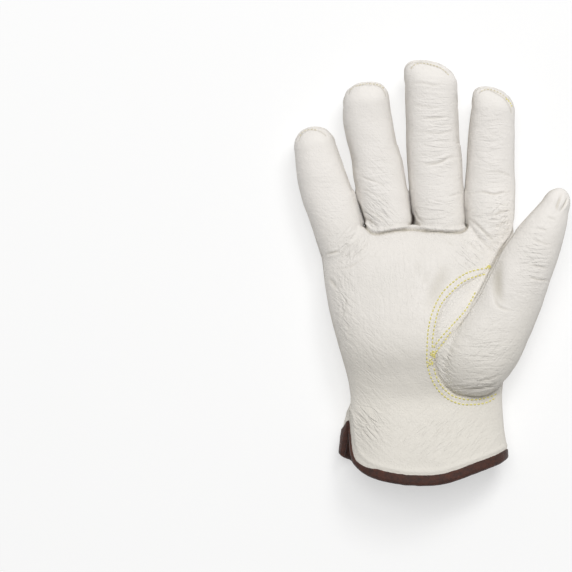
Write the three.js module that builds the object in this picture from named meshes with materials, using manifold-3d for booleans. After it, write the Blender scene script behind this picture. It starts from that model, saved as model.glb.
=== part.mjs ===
// A lined leather work glove for the right hand, lying on its back with the palm up.
// +Y runs from the cuff's hem to the fingertips, +X points to the thumb's side and +Z out of the palm.
// Every length is in millimetres. The leather and the lining that backs it are modelled as one wall.
import * as THREE from 'three';
import { mergeVertices } from 'three/addons/utils/BufferGeometryUtils.js';
import Module from 'manifold-3d';

const wasm = await Module();
wasm.setup();

// Driving sizes
const WALL = 2.0; // leather and its lining
const SEAM_GAP = 0.3; // between two panels that are sewn edge to edge
const BINDING_WIDTH = 6.6;
const BINDING_WALL = 0.9;
const TONGUE_STOP = 1.5; // the leather ends this far above the binding's lower edge
const BODY_POWER = 2.3; // 2 is an ellipse, more is squarer
const DIGIT_POWER = 2.5;
const TIP_POWER = 2.4;
const FAR = 400; // past any part of the glove
const MITRE_LIMIT = 2; // a grown outline's corners reach out no further than this share of the growth
const BACK_START = -0.1; // a section's back starts this share of its half height below its middle
const BACK_FULL = 0.5; // and takes the whole flare and the whole depth of the ruffles from here
const LIFT_END_Y = 11; // the binding under the cuff holds its leather off the floor up to here
const LIFT_FADE_Y = 24; // and the leather comes down to the floor here

// The hand from hem to knuckles. left, right and top are its outline, base its underside before the
// floor flattens it, and flare is how far the back stands out past the palm at the slit.
const HAND = [
  { y: -9, left: -43.0, right: 53.0, top: 46, base: -1.0, flare: 9.0 },
  { y: 12, left: -42.6, right: 52.5, top: 44, base: -1.0, flare: 11.0 },
  { y: 26, left: -42.0, right: 51.6, top: 42, base: -1.0, flare: 11.0 },
  { y: 41, left: -42.0, right: 49.8, top: 39, base: 0.0, flare: 4.0 },
  { y: 55, left: -41.4, right: 49.2, top: 37, base: 3.0, flare: 0.0 },
  { y: 68, left: -43.4, right: 49.8, top: 40, base: 1.5, flare: 0.0 },
  { y: 84, left: -48.0, right: 51.0, top: 45, base: -1.0, flare: 0.0 },
  { y: 102, left: -52.8, right: 52.8, top: 44, base: -1.5, flare: 0.0 },
  { y: 120, left: -56.4, right: 54.4, top: 40, base: -1.5, flare: 0.0 },
  { y: 138, left: -58.4, right: 55.6, top: 36, base: -1.5, flare: 0.0 },
  { y: 150, left: -60.6, right: 55.8, top: 31, base: -0.5, flare: 0.0 },
  { y: 158, left: -62.0, right: 55.0, top: 26, base: 2.5, flare: 0.0 },
];

// The elastic across the back of the wrist, and the ruffles that it gathers
const ELASTIC_Y = 55;
const GATHER_REACH = 17;
const GATHER_DEPTH = 1.0;

// Each digit from root to tip: its middle, half its width, half its depth and its height above the floor.
// creases are folds across the palm side, placed as a share of the length.
const DIGITS = {
  little: {
    rows: [
      { x: -42.6, y: 136, z: 15.5, half: 14.0, depth: 13.5 },
      { x: -46.8, y: 150, z: 15.5, half: 14.8, depth: 13.8 },
      { x: -50.6, y: 163, z: 15.5, half: 15.2, depth: 13.6 },
      { x: -56.0, y: 178, z: 15.5, half: 15.0, depth: 13.2 },
      { x: -60.0, y: 192, z: 16.0, half: 14.2, depth: 12.6 },
      { x: -62.6, y: 205, z: 17.0, half: 12.6, depth: 11.4 },
    ],
    tip: { x: -64.6, y: 218.0, z: 18.0 },
    creases: [{ at: 0.22, depth: 1.6, width: 0.07 }, { at: 0.68, depth: 0.8, width: 0.06 }],
  },
  ring: {
    rows: [
      { x: -14.4, y: 136, z: 15.5, half: 14.0, depth: 13.8 },
      { x: -17.4, y: 150, z: 15.5, half: 14.2, depth: 14.0 },
      { x: -19.4, y: 163, z: 15.5, half: 14.2, depth: 13.8 },
      { x: -23.2, y: 178, z: 15.5, half: 15.0, depth: 13.6 },
      { x: -25.4, y: 192, z: 16.0, half: 15.0, depth: 13.2 },
      { x: -28.4, y: 207, z: 17.0, half: 14.4, depth: 12.8 },
      { x: -31.2, y: 221, z: 18.5, half: 14.5, depth: 12.4 },
      { x: -32.0, y: 231, z: 20.0, half: 13.8, depth: 11.8 },
    ],
    tip: { x: -31.4, y: 245.0, z: 21.0 },
    creases: [{ at: 0.42, depth: 1.2, width: 0.05 }, { at: 0.7, depth: 0.8, width: 0.05 }],
  },
  middle: {
    rows: [
      { x: 12.8, y: 136, z: 15.5, half: 14.0, depth: 14.0 },
      { x: 12.3, y: 150, z: 15.5, half: 14.4, depth: 14.2 },
      { x: 11.1, y: 163, z: 15.5, half: 14.9, depth: 14.0 },
      { x: 9.4, y: 185, z: 15.5, half: 16.0, depth: 13.8 },
      { x: 8.0, y: 203, z: 16.5, half: 16.1, depth: 13.4 },
      { x: 7.4, y: 222, z: 18.5, half: 15.6, depth: 12.8 },
      { x: 6.8, y: 242, z: 21.0, half: 15.4, depth: 12.0 },
    ],
    tip: { x: 0.0, y: 257.6, z: 22.5 },
    creases: [{ at: 0.5, depth: 1.4, width: 0.05 }, { at: 0.8, depth: 1.0, width: 0.05 }],
  },
  index: {
    rows: [
      { x: 40.4, y: 136, z: 15.5, half: 14.0, depth: 13.6 },
      { x: 41.6, y: 150, z: 15.5, half: 14.2, depth: 13.8 },
      { x: 42.4, y: 165, z: 15.5, half: 14.3, depth: 13.6 },
      { x: 42.3, y: 182, z: 15.5, half: 14.7, depth: 13.2 },
      { x: 42.5, y: 196, z: 16.5, half: 14.1, depth: 13.0 },
      { x: 43.1, y: 213, z: 18.0, half: 13.7, depth: 12.4 },
      { x: 44.0, y: 227, z: 20.0, half: 12.8, depth: 11.6 },
    ],
    tip: { x: 39.4, y: 243.0, z: 21.0 },
    creases: [{ at: 0.14, depth: 1.6, width: 0.05 }, { at: 0.42, depth: 1.3, width: 0.05 }],
  },
  thumb: {
    rows: [
      { x: 27.4, y: 63, z: 23, half: 12.5, depth: 11.0 },
      { x: 28.6, y: 68.5, z: 27, half: 18.4, depth: 17.0 },
      { x: 32.0, y: 77, z: 30, half: 21.4, depth: 20.0 },
      { x: 38.6, y: 88, z: 32, half: 22.0, depth: 20.0 },
      { x: 47.2, y: 102, z: 33, half: 20.4, depth: 18.6 },
      { x: 54.2, y: 116, z: 34, half: 18.8, depth: 17.0 },
      { x: 60.6, y: 131, z: 35, half: 17.6, depth: 15.8 },
      { x: 67.4, y: 145, z: 36, half: 15.8, depth: 14.2 },
      { x: 74.6, y: 159, z: 37, half: 13.0, depth: 11.8 },
      { x: 79.6, y: 170, z: 37.5, half: 10.2, depth: 9.4 },
    ],
    tip: { x: 84.8, y: 181.4, z: 38 },
    creases: [{ at: 0.62, depth: 0.9, width: 0.04 }, { at: 0.76, depth: 0.8, width: 0.04 }],
  },
};

// How finely each form is lofted, with the points of a section counted over its upper and lower halves
const FINE = {
  hand: { upper: 14, lower: 24 },
  handSteps: 13,
  digit: { upper: 7, lower: 6 },
  steps: 9,
  capSteps: 3,
};
const PLAIN = {
  hand: { upper: 8, lower: 24 },
  handSteps: 6,
  digit: { upper: 5, lower: 5 },
  steps: 4,
  capSteps: 2,
};

// The hem seen from above, from the little finger's side to the thumb's side
const HEM = [
  [-60, 31], [-52, 26], [-48, 21], [-43.4, 16], [-38, 11], [-32.6, 7.4], [-24, 4], [-12, 1.6], [0, 0.6],
  [12, 1.5], [21, 4.4], [30, 8.2], [40, 12], [48, 15.6], [54, 19.5], [64, 25],
];

// The slit at the little finger's side. The palm's edge is seen from the side and above, halfway between
// the two, as [y, (x + z) / √2]. The back's edge is seen from the side, as [y, z].
const SLIT_PALM_EDGE = [
  [-12, 20], [4, 8.5], [7, 2.6], [11, -3.6], [17.6, -8.5], [25, -12.2], [33, -14.6], [41, -16],
];
const SLIT_TOP = [41, 20];
const SLIT_BACK_EDGE = [[33, 18.6], [25, 17.4], [16, 16], [-12, 12]];
const SLIT_MOUTH = [-12, 24]; // where the back's side of the slit leaves the cuff
const SLIT_REACH = -27; // the cut for the back's edge runs from the side in to this x
const SLIT_DEPTH = -36; // and the palm's to this (x - z) / √2

// Seams seen from above as [x, y]. The gusset lies between the first two, the thumb to the right of
// the second, and the third is the lower edge of the set-in thumb.
const GUSSET_ARC = [
  [41.4, 132], [32.6, 126.6], [25.2, 122.7], [18.6, 117], [14.4, 111.6], [11.7, 106.2], [9.9, 99.6],
  [8.7, 91.2], [8.4, 85.2], [8.7, 80.4],
];
const THUMB_LOWER_ARC = [
  [8.3, 75.6], [10.2, 69], [15.4, 61.5], [22, 57], [33.6, 56.1], [43.2, 59.4], [51, 63.5],
];
const THUMB_OUTSIDE = [[66, 62], [110, 100], [110, 200], [78, 192], [66, 178], [58.4, 165], [56.6, 150]];
// Where the gusset meets the thumb, at the height of the thumb's middle. It leans over by THUMB_SEAM_LEAN.
const THUMB_SEAM = [
  [-20, 70], [8.7, 80.4], [14.4, 76.8], [22.2, 87.6], [32.6, 101.4], [39.2, 112.2], [47, 128.4],
  [56.2, 150], [64.4, 163], [74.0, 175], [82.0, 190],
];
const THUMB_SEAM_Z = 35;
const THUMB_SEAM_LEAN = 0.85;
const THUMB_HOLE_Z = 12; // the lowest point of the thumb's opening in the hand's side
// Where the thumb stands over the index finger's root, above this height
const THUMB_CROTCH = [
  [41.4, 132], [46.4, 141.5], [51.6, 149.5], [57.4, 158], [62, 166], [74, 150], [52, 126],
];
const THUMB_CROTCH_Z = 27;

// The palm's edge below the middle and ring fingers' front piece, from the little finger's crotch
const TWO_FINGER_SEAM = [
  [-33.9, 163], [-32.6, 158], [-29.4, 154.4], [-25.4, 153.8], [-15, 155.6], [-4.2, 156.8], [6, 155.4],
  [16, 154.6], [24, 154.8], [27.2, 156.6], [28, 161],
];
const TWO_FINGER_TOP = [
  [27.2, 175], [26.2, 200], [26.2, 225], [30, 250], [30, 270], [-50, 270], [-50, 240], [-46, 220],
  [-43.4, 205], [-41, 190], [-38.2, 178],
];

// The back panel's edge on the thumb's side, seen from above, and its corner at the little finger's root
const BACK_EDGE = [
  [56, 170], [53.6, 150], [51.6, 130], [48, 105], [43, 80], [41, 60], [43.4, 40], [45, 20], [46, -20],
];
const BACK_CORNER = [-30, 150];
const BACK_TOP_Z = 19; // the seam's height along the little finger's side of the hand
const KNUCKLE_Y = 150; // the forks between the fingers start here

const X = new THREE.Vector3(1, 0, 0);
const Y = new THREE.Vector3(0, 1, 0);
const Z = new THREE.Vector3(0, 0, 1);

// A closed mesh as a solid for cutting and joining
function toSolid(geometry) {
  const bare = geometry.clone();
  bare.deleteAttribute('normal');
  bare.deleteAttribute('uv');
  const merged = mergeVertices(bare, 1e-4);
  return new wasm.Manifold(new wasm.Mesh({
    numProp: 3,
    vertProperties: new Float32Array(merged.attributes.position.array),
    triVerts: new Uint32Array(merged.index.array),
  }));
}

// The solid's largest body as a geometry, without the slivers that a cut can leave
function toGeometry(solid) {
  const parts = solid.decompose().sort((a, b) => b.volume() - a.volume());
  const mesh = parts[0].getMesh();
  const geometry = new THREE.BufferGeometry();
  geometry.setAttribute('position', new THREE.BufferAttribute(mesh.vertProperties, 3));
  geometry.setIndex(new THREE.BufferAttribute(mesh.triVerts, 1));
  return geometry;
}

// A closed skin through rings of equally many points, ending in a point at each end
function loft(rings, start, end) {
  const sides = rings[0].length;
  const points = [...rings.flat(), start, end];
  const startIndex = points.length - 2;
  const endIndex = points.length - 1;
  const last = (rings.length - 1) * sides;
  const faces = [];
  for (let i = 0; i < sides; i++) {
    const j = (i + 1) % sides;
    faces.push(startIndex, j, i, endIndex, last + i, last + j);
    for (let r = 0; r < last; r += sides) {
      faces.push(r + i, r + j, r + sides + j, r + i, r + sides + j, r + sides + i);
    }
  }
  const geometry = new THREE.BufferGeometry().setFromPoints(points);
  geometry.setIndex(faces);
  return geometry;
}

// A number raised to 2 / power with its sign kept, as a superellipse needs
const curved = (value, power) => Math.sign(value) * Math.abs(value) ** (2 / power);

// The points round a section, its lower half first. pointAt takes the angle's cosine and sine and the count.
function ringOf({ upper, lower }, pointAt) {
  const angles = [];
  for (let i = 0; i < lower; i++) angles.push((-i / lower) * Math.PI);
  for (let i = 0; i < upper; i++) angles.push((-1 - i / upper) * Math.PI);
  return angles.map((angle, i) => pointAt(Math.cos(angle), Math.sin(angle), i));
}

// Named columns of a table at a share of its length, passing smoothly through every row
function between(rows, columns, share) {
  const values = {};
  for (const column of columns) {
    const line = new THREE.SplineCurve(rows.map((row, i) => new THREE.Vector2(i, row[column])));
    values[column] = line.getPoint(share).y;
  }
  return values;
}

// One section of the hand, grown by offset. Every second point of its back is the crest of a ruffle.
function handRing(row, offset, grain) {
  const centre = (row.left + row.right) / 2;
  const half = (row.right - row.left) / 2 + offset;
  const level = (row.top + row.base) / 2;
  const height = (row.top - row.base) / 2 + offset;
  const near = Math.exp(-(((row.y - ELASTIC_Y) / GATHER_REACH) ** 2));
  return ringOf(grain.hand, (c, s, i) => {
    const low = THREE.MathUtils.smoothstep(-s, BACK_START, BACK_FULL);
    const x = centre + half * curved(c, BODY_POWER) - row.flare * low * Math.max(0, -c);
    const ruffle = GATHER_DEPTH * near * low * (i % 2 ? 1 : -1);
    return new THREE.Vector3(x, row.y, level + (height + ruffle) * curved(s, BODY_POWER));
  });
}

// The hand's body, grown by offset
function handForm(offset, grain) {
  const rings = [];
  for (let i = 0; i <= grain.handSteps; i++) {
    const row = between(HAND, ['y', 'left', 'right', 'top', 'base', 'flare'], i / grain.handSteps);
    if (i === grain.handSteps) row.y += offset;
    rings.push(handRing(row, offset, grain));
  }
  const middle = (ring) => ring.reduce((sum, p) => sum.add(p), new THREE.Vector3()).divideScalar(ring.length);
  return toSolid(loft(rings, middle(rings[0]), middle(rings.at(-1))));
}

// How deep the palm-side creases are at a share of a digit's length
function creaseAt(digit, share) {
  return digit.creases.reduce((sum, c) => sum + c.depth * Math.exp(-(((share - c.at) / c.width) ** 2)), 0);
}

const NUDGE = 0.02; // the share of a digit's length over which its direction is taken
const TIP_STEP = 0.6; // from a tip's last ring to its point, in steps

// A digit, grown by offset, from inside the hand to its rounded tip
function digitForm(digit, offset, grain, creased) {
  const rings = [];
  const columns = ['x', 'y', 'z', 'half', 'depth'];
  const place = (share) => {
    const row = between(digit.rows, columns, share);
    return { row, centre: new THREE.Vector3(row.x, row.y, row.z) };
  };
  const addRing = (centre, along, row, shrink, dent) => {
    const across = new THREE.Vector3().crossVectors(along, Z).normalize();
    const up = new THREE.Vector3().crossVectors(across, along).normalize();
    const half = (row.half + offset) * shrink;
    const depth = (row.depth + offset) * shrink;
    rings.push(ringOf(grain.digit, (c, s) => centre.clone()
      .addScaledVector(across, half * curved(c, DIGIT_POWER))
      .addScaledVector(up, (depth - dent * Math.max(0, s)) * curved(s, DIGIT_POWER))));
  };
  const alongAt = (share) => {
    const before = place(Math.max(0, share - NUDGE)).centre;
    return place(Math.min(1, share + NUDGE)).centre.sub(before).normalize();
  };
  for (let i = 0; i <= grain.steps; i++) {
    const share = i / grain.steps;
    const here = place(share);
    addRing(here.centre, alongAt(share), here.row, 1, creased ? creaseAt(digit, share) : 0);
  }
  const end = place(1);
  const along = alongAt(1);
  const tip = new THREE.Vector3(digit.tip.x, digit.tip.y, digit.tip.z).addScaledVector(along, offset);
  const straight = along.clone().multiplyScalar(tip.clone().sub(end.centre).dot(along));
  const lean = tip.clone().sub(end.centre).sub(straight);
  for (let i = 1; i <= grain.capSteps; i++) {
    const reach = Math.sin((i / (grain.capSteps + TIP_STEP)) * (Math.PI / 2));
    const shrink = (1 - reach ** TIP_POWER) ** (1 / TIP_POWER);
    const centre = end.centre.clone().addScaledVector(straight, reach).addScaledVector(lean, reach ** 2);
    addRing(centre, along, end.row, shrink, 0);
  }
  return toSolid(loft(rings, place(0).centre, tip));
}

// An outline of [a, b] points pushed from low to high along the third axis of a frame
function prism(outline, low, high, frame = new THREE.Matrix4()) {
  const shape = new THREE.Shape(outline.map(([a, b]) => new THREE.Vector2(a, b)));
  const geometry = new THREE.ExtrudeGeometry(shape, { depth: high - low, bevelEnabled: false });
  return toSolid(geometry.translate(0, 0, low).applyMatrix4(frame));
}

// The line moved sideways to its left by a distance
function offsetLine(line, distance) {
  return line.map(([a, b], i) => {
    const [pa, pb] = line[Math.max(0, i - 1)];
    const [na, nb] = line[Math.min(line.length - 1, i + 1)];
    const length = Math.hypot(na - pa, nb - pb);
    return [a - ((nb - pb) / length) * distance, b + ((na - pa) / length) * distance];
  });
}

// A closed outline grown outwards by a distance
function growOutline(outline, distance) {
  const turn = Math.sign(THREE.ShapeUtils.area(outline.map(([x, y]) => ({ x, y }))));
  const closed = [outline.at(-1), ...outline, outline[0]];
  return outline.map(([a, b], i) => {
    const into = new THREE.Vector2(a - closed[i][0], b - closed[i][1]).normalize();
    const away = new THREE.Vector2(closed[i + 2][0] - a, closed[i + 2][1] - b).normalize();
    const normal = new THREE.Vector2(into.y + away.y, -into.x - away.x).normalize().multiplyScalar(turn);
    const mitre = Math.min(MITRE_LIMIT, 1 / Math.abs(normal.x * into.y - normal.y * into.x));
    return [a + normal.x * distance * mitre, b + normal.y * distance * mitre];
  });
}

// Everything below a wall's height over the floor, with the lift that the binding gives the cuff's leather
function floorBelow(height) {
  const lift = BINDING_WALL + SEAM_GAP + height;
  const profile = [
    [-FAR, lift], [LIFT_END_Y, lift], [LIFT_FADE_Y, height], [FAR, height], [FAR, -FAR], [-FAR, -FAR],
  ];
  return prism(profile, -FAR, FAR, new THREE.Matrix4().makeBasis(Y, Z, X));
}

const flatFloor = prism([[-FAR, -FAR], [FAR, -FAR], [FAR, FAR], [-FAR, FAR]], -FAR, 0);

// Everything past the hem and inside the slit, grown by a distance into the cuff
function hemCut(grow) {
  const hem = [...offsetLine(HEM, grow), [FAR, -FAR], [-FAR, -FAR]];
  const [topY, topT] = SLIT_PALM_EDGE.at(-1);
  const palmLine = offsetLine(SLIT_PALM_EDGE, grow).slice(0, -1);
  const palmEdge = [...palmLine, [topY + grow, topT], [SLIT_MOUTH[0], topT]];
  const backEdge = [SLIT_MOUTH, [SLIT_TOP[0] + grow, SLIT_TOP[1]], ...offsetLine(SLIT_BACK_EDGE, grow)];
  const across = new THREE.Vector3(1, 0, 1).normalize();
  const slanted = new THREE.Matrix4().makeBasis(Y, across, new THREE.Vector3(1, 0, -1).normalize());
  const side = new THREE.Matrix4().makeBasis(Y, Z, X);
  return prism(hem, -FAR, FAR)
    .add(prism(palmEdge, -FAR, SLIT_DEPTH, slanted))
    .add(prism(backEdge, -FAR, SLIT_REACH, side));
}

// The frame of a digit: along its middle line, up, and across towards the thumb's side
function digitFrame(digit) {
  const root = digit.rows[1];
  const along = new THREE.Vector3(digit.tip.x - root.x, digit.tip.y - root.y, 0).normalize();
  const across = new THREE.Vector3().crossVectors(along, Z);
  return new THREE.Matrix4().makeBasis(along, Z, across).setPosition(root.x, root.y, 0);
}

// The seam lines of a digit as [distance along it, height], for a share of its half depth
function seamLine(digit, share, tipShare, stop) {
  const toLocal = digitFrame(digit).invert();
  const line = digit.rows.map((row) => {
    const s = new THREE.Vector3(row.x, row.y, 0).applyMatrix4(toLocal).x;
    return [s, row.z + share * row.depth];
  });
  const s = new THREE.Vector3(digit.tip.x, digit.tip.y, 0).applyMatrix4(toLocal).x;
  line.push([s - stop, digit.tip.z + tipShare * digit.rows.at(-1).depth]);
  return line;
}

// The heights of a finger's seams, as shares of its half depth from its middle line
const BACK_SHARE = -0.62;
const FRONT_SHARE = 0.06;
const TIP_SHARE = 0.3;
const FORK_STOP = 12; // a fork ends this far short of the fingertips
const TIP_STOP = 1; // and the back is folded over the tip to this far from its end
const FINGER_REACH = 19; // more than half the width of any finger
const INDEX_SEAM_INSET = 2.4; // from the index finger's outer side to the seam along its back

// The side walls of two fingers that face each other, which one fork covers
function forkCut(left, right, grow) {
  const half = (digit, low, high) => {
    const toLocal = digitFrame(digit).invert();
    const start = new THREE.Vector3(digit.rows[1].x, KNUCKLE_Y, 0).applyMatrix4(toLocal).x;
    const upper = seamLine(digit, FRONT_SHARE, 0, FORK_STOP).slice(2);
    const lower = seamLine(digit, BACK_SHARE, 0, FORK_STOP).slice(2, -1).reverse();
    const outline = [[start, upper[0][1]], ...upper, ...lower, [start, lower.at(-1)[1]]];
    return prism(growOutline(outline, grow), low, high, digitFrame(digit));
  };
  return half(left, 0, FINGER_REACH).add(half(right, -FINGER_REACH, 0));
}

// The back panel's share of a finger, under its seam line
function backOfFinger(digit, low, high, share, grow) {
  const seam = seamLine(digit, share, TIP_SHARE, TIP_STOP);
  const outline = [...seam, [FAR, seam.at(-1)[1]], [FAR, -FAR], [seam[0][0], -FAR]];
  return prism(growOutline(outline, grow), low - grow, high + grow, digitFrame(digit));
}

// The back panel: all under the hand's side seams, and the backs of the fingers
function backCut(grow) {
  const { little, ring, middle, index } = DIGITS;
  const plan = growOutline([...BACK_EDGE, [-FAR, -FAR], [-FAR, KNUCKLE_Y], BACK_CORNER], grow);
  const indexReach = index.rows[3].half - INDEX_SEAM_INSET;
  return prism(plan, -FAR, BACK_TOP_Z + grow)
    .add(backOfFinger(little, -FINGER_REACH, 0, FRONT_SHARE, grow))
    .add(backOfFinger(little, -1, FINGER_REACH, BACK_SHARE, grow))
    .add(backOfFinger(ring, -FINGER_REACH, FINGER_REACH, BACK_SHARE, grow))
    .add(backOfFinger(middle, -FINGER_REACH, FINGER_REACH, BACK_SHARE, grow))
    .add(backOfFinger(index, -FINGER_REACH, indexReach, BACK_SHARE, grow));
}

// All that belongs to the set-in thumb: its opening in the palm, and everything beyond it
function thumbCut(grow) {
  const outline = [...GUSSET_ARC, ...THUMB_LOWER_ARC, ...THUMB_OUTSIDE];
  return prism(growOutline(outline, grow), THUMB_HOLE_Z - grow, FAR)
    .add(prism(growOutline(THUMB_CROTCH, grow), THUMB_CROTCH_Z - grow, FAR));
}

// The thumb's outer piece within that: the side away from the fingers, split along a leaning seam
function thumbOuterCut(grow) {
  const [[startX, startY], [endX, endY]] = [THUMB_SEAM[1], THUMB_SEAM.at(-1)];
  const n = new THREE.Vector2(startY - endY, endX - startX).setLength(THUMB_SEAM_LEAN);
  const lean = new THREE.Matrix4().set(
    1, 0, n.x, -n.x * THUMB_SEAM_Z,
    0, 1, n.y, -n.y * THUMB_SEAM_Z,
    0, 0, 1, 0,
    0, 0, 0, 1,
  );
  const outline = [...offsetLine(THUMB_SEAM, grow), [FAR, FAR], [FAR, -FAR], [THUMB_SEAM[0][0], -FAR]];
  return prism(outline, -FAR, FAR, lean);
}

// The front of the middle and ring fingers, down to the palm's edge
function twoFingerCut(grow) {
  return prism(growOutline([...TWO_FINGER_SEAM, ...TWO_FINGER_TOP], grow), 0, FAR);
}

// The whole glove as one solid form, grown by offset
function gloveForm(offset, grain, creased) {
  let form = handForm(offset, grain);
  for (const digit of Object.values(DIGITS)) form = form.add(digitForm(digit, offset, grain, creased));
  return form;
}

const outside = gloveForm(0, FINE, true).subtract(floorBelow(0));
const inside = gloveForm(-WALL, PLAIN, false).subtract(floorBelow(WALL));
let leather = outside.subtract(inside).subtract(hemCut(TONGUE_STOP));

// Takes one panel out of the leather that is left, with a seam's gap round it
function cutPanel(cut) {
  const panel = leather.intersect(cut(0));
  leather = leather.subtract(cut(SEAM_GAP));
  return panel;
}

const { little, ring, middle, index } = DIGITS;
const thumbLeather = cutPanel(thumbCut);
const panels = {
  thumb_outer: thumbLeather.intersect(thumbOuterCut(0)),
  thumb_gusset: thumbLeather.subtract(thumbOuterCut(SEAM_GAP)),
  fork_little_ring: cutPanel((grow) => forkCut(little, ring, grow)),
  fork_ring_middle: cutPanel((grow) => forkCut(ring, middle, grow)),
  fork_middle_index: cutPanel((grow) => forkCut(middle, index, grow)),
  back_panel: cutPanel(backCut),
  two_finger_front: cutPanel(twoFingerCut),
};
panels.palm_panel = leather;

// The binding folded over the hem: a fat band round it, with a channel for the leather's edge
function bindingForm() {
  const skin = BINDING_WALL + SEAM_GAP;
  const fat = handForm(skin, FINE).subtract(handForm(-WALL - skin, PLAIN).subtract(floorBelow(WALL + skin)));
  const channel = handForm(SEAM_GAP, FINE).subtract(floorBelow(-SEAM_GAP))
    .subtract(handForm(-WALL - SEAM_GAP, PLAIN).subtract(floorBelow(WALL + SEAM_GAP)));
  return fat.intersect(hemCut(BINDING_WIDTH)).subtract(hemCut(0))
    .subtract(channel.subtract(hemCut(TONGUE_STOP - SEAM_GAP))).subtract(flatFloor);
}

const leatherLook = new THREE.MeshStandardMaterial({ color: 0xe6e1d8, roughness: 0.62, metalness: 0 });
const bindingLook = new THREE.MeshStandardMaterial({ color: 0x3a231d, roughness: 0.8, metalness: 0 });

const glove = new THREE.Group();
glove.name = 'glove';

function addPiece(name, solid, look) {
  const mesh = new THREE.Mesh(toGeometry(solid), look);
  mesh.name = name;
  glove.add(mesh);
}

for (const [name, solid] of Object.entries(panels)) addPiece(name, solid, leatherLook);
addPiece('cuff_binding', bindingForm(), bindingLook);

// The origin goes to the middle of the footprint, on the floor
const bounds = new THREE.Box3().setFromObject(glove);
const middlePoint = bounds.getCenter(new THREE.Vector3());
glove.children.forEach((mesh) => mesh.geometry.translate(-middlePoint.x, -middlePoint.y, -bounds.min.z));

export default glove;
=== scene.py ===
# A lined leather work glove for the right hand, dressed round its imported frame.
# Lengths are in millimetres with the hem's middle at y 0, and meshes are written in metres.
import math
import random
from collections import namedtuple
from itertools import combinations

import bpy
import numpy as np
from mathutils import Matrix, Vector, noise
from mathutils.bvhtree import BVHTree
from mathutils.kdtree import KDTree


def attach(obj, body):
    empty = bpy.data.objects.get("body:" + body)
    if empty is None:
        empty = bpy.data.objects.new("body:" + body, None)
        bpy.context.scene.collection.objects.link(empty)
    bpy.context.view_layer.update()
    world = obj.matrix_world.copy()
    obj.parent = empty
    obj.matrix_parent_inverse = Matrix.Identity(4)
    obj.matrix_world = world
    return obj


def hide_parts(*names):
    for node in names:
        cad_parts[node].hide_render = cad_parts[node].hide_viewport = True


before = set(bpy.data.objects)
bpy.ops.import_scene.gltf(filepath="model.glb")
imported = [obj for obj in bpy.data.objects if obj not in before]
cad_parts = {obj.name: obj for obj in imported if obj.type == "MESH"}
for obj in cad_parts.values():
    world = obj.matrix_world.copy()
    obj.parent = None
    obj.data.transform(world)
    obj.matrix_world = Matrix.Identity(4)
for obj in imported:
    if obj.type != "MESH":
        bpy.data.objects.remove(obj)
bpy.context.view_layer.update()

MM = 0.001
ORIGIN = np.array([7.66, 129.12, 0.0])  # the frame's origin, seen from the hem's middle
FINE_GRID = 0.7  # the size of the skin's faces
INNER_SHARE = 0.3  # how many of its faces the wall's inner skin keeps, since little of it is seen
WALL = 1.8  # how thick the leather is with its lining
BODY_POWER = 2.3  # a cross-section's power: 2 is an ellipse, and more is fuller
FLARED = (-0.1, 0.5)  # how low on the hand the flare begins and is full, as the sine below its middle
DIGIT_POWER = 2.5
TIP_POWER = 2.4
AHEAD = 0.02  # how far along a digit its direction is taken
CAP_SHORT = 0.7  # the last ring of a digit's cap stops this part of a step short of the tip
TAPE = {"width": 6.8, "thickness": 1.0, "roll": 2.0, "edge": 0.35, "edge_reach": 0.7, "thinnest": 0.05}
LEATHER_STOP = 1.4  # the leather ends this far inside the tape's fold
FLOOR_ROUNDING = 0.9  # how softly the leather turns up from the floor
CUFF_END = 75  # past here no leather counts as near the hem, and its distance is FAR
FAR = 99.0
LIFT = {"height": 1.2, "end": 11.0, "fade": 24.0}  # the binding holds the cuff off the floor
LOWEST = {"leather": 0.02, "tape": 0.03, "tape_inside": 0.06}  # the least z of each
# How many times points are drawn towards their neighbours
SMOOTHING = {"skin": 8, "seams": 14, "beside_seams": 2, "tape_rim": 16, "tape_normals": 6}
VOTING = {"rounds": 4, "own": 1.5}  # how faces take the panel that most round them have

# The hand from hem to knuckles. flare is how far the back stands out past the palm at the slit.
HAND = {
    "y": [-9, 12, 26, 41, 55, 68, 84, 102, 120, 138, 150, 158],
    "left": [-43.0, -42.6, -42.0, -42.0, -41.4, -43.4, -48.0, -52.8, -56.4, -58.4, -60.6, -62.0],
    "right": [53.0, 52.5, 51.6, 49.8, 49.2, 49.8, 51.0, 52.8, 54.4, 55.6, 55.8, 55.0],
    "top": [46, 44, 42, 39, 37, 40, 45, 44, 40, 36, 31, 26],
    "base": [-1.0, -1.0, -1.0, 0.0, 3.0, 1.5, -1.0, -1.5, -1.5, -1.5, -0.5, 2.5],
    "flare": [9, 10.8, 10.4, 7.3, 0.5, 0, 0, 0, 0, 0, 0, 0],
}

# The hem seen from above, and the slit at the little finger's side. The palm's edge of the slit is seen
# from the side and above, halfway between the two, as y and (x + z) / root 2, and the back's edge
# from the side, as y and z.
HEM = [
    (-60, 36), (-50.6, 27), (-49.2, 23.2), (-48.2, 21), (-46.6, 19.3), (-44.4, 18.3), (-41.6, 17.2),
    (-38, 13.2), (-32.6, 9.4), (-24, 6.4), (-12, 4.3), (0, 3.5), (12, 4.3), (21, 6.6), (30, 9.8),
    (40, 13.3), (48, 16.2), (54, 19.8), (64, 25),
]
SLIT_PALM = [(-12, 20), (4, 8.5), (7, 2.6), (11, -3.6), (17.6, -9.3), (25, -13.4), (33, -15.4), (41, -16.4)]
SLIT_BACK = [(-12, 12), (16, 15.4), (25, 16.6), (33, 17.6), (41, 20)]
SLIT_END = {"y": 41, "slant": -16.4, "z": 20, "mouth_z": 24, "x": -27, "depth": -36}

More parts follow.
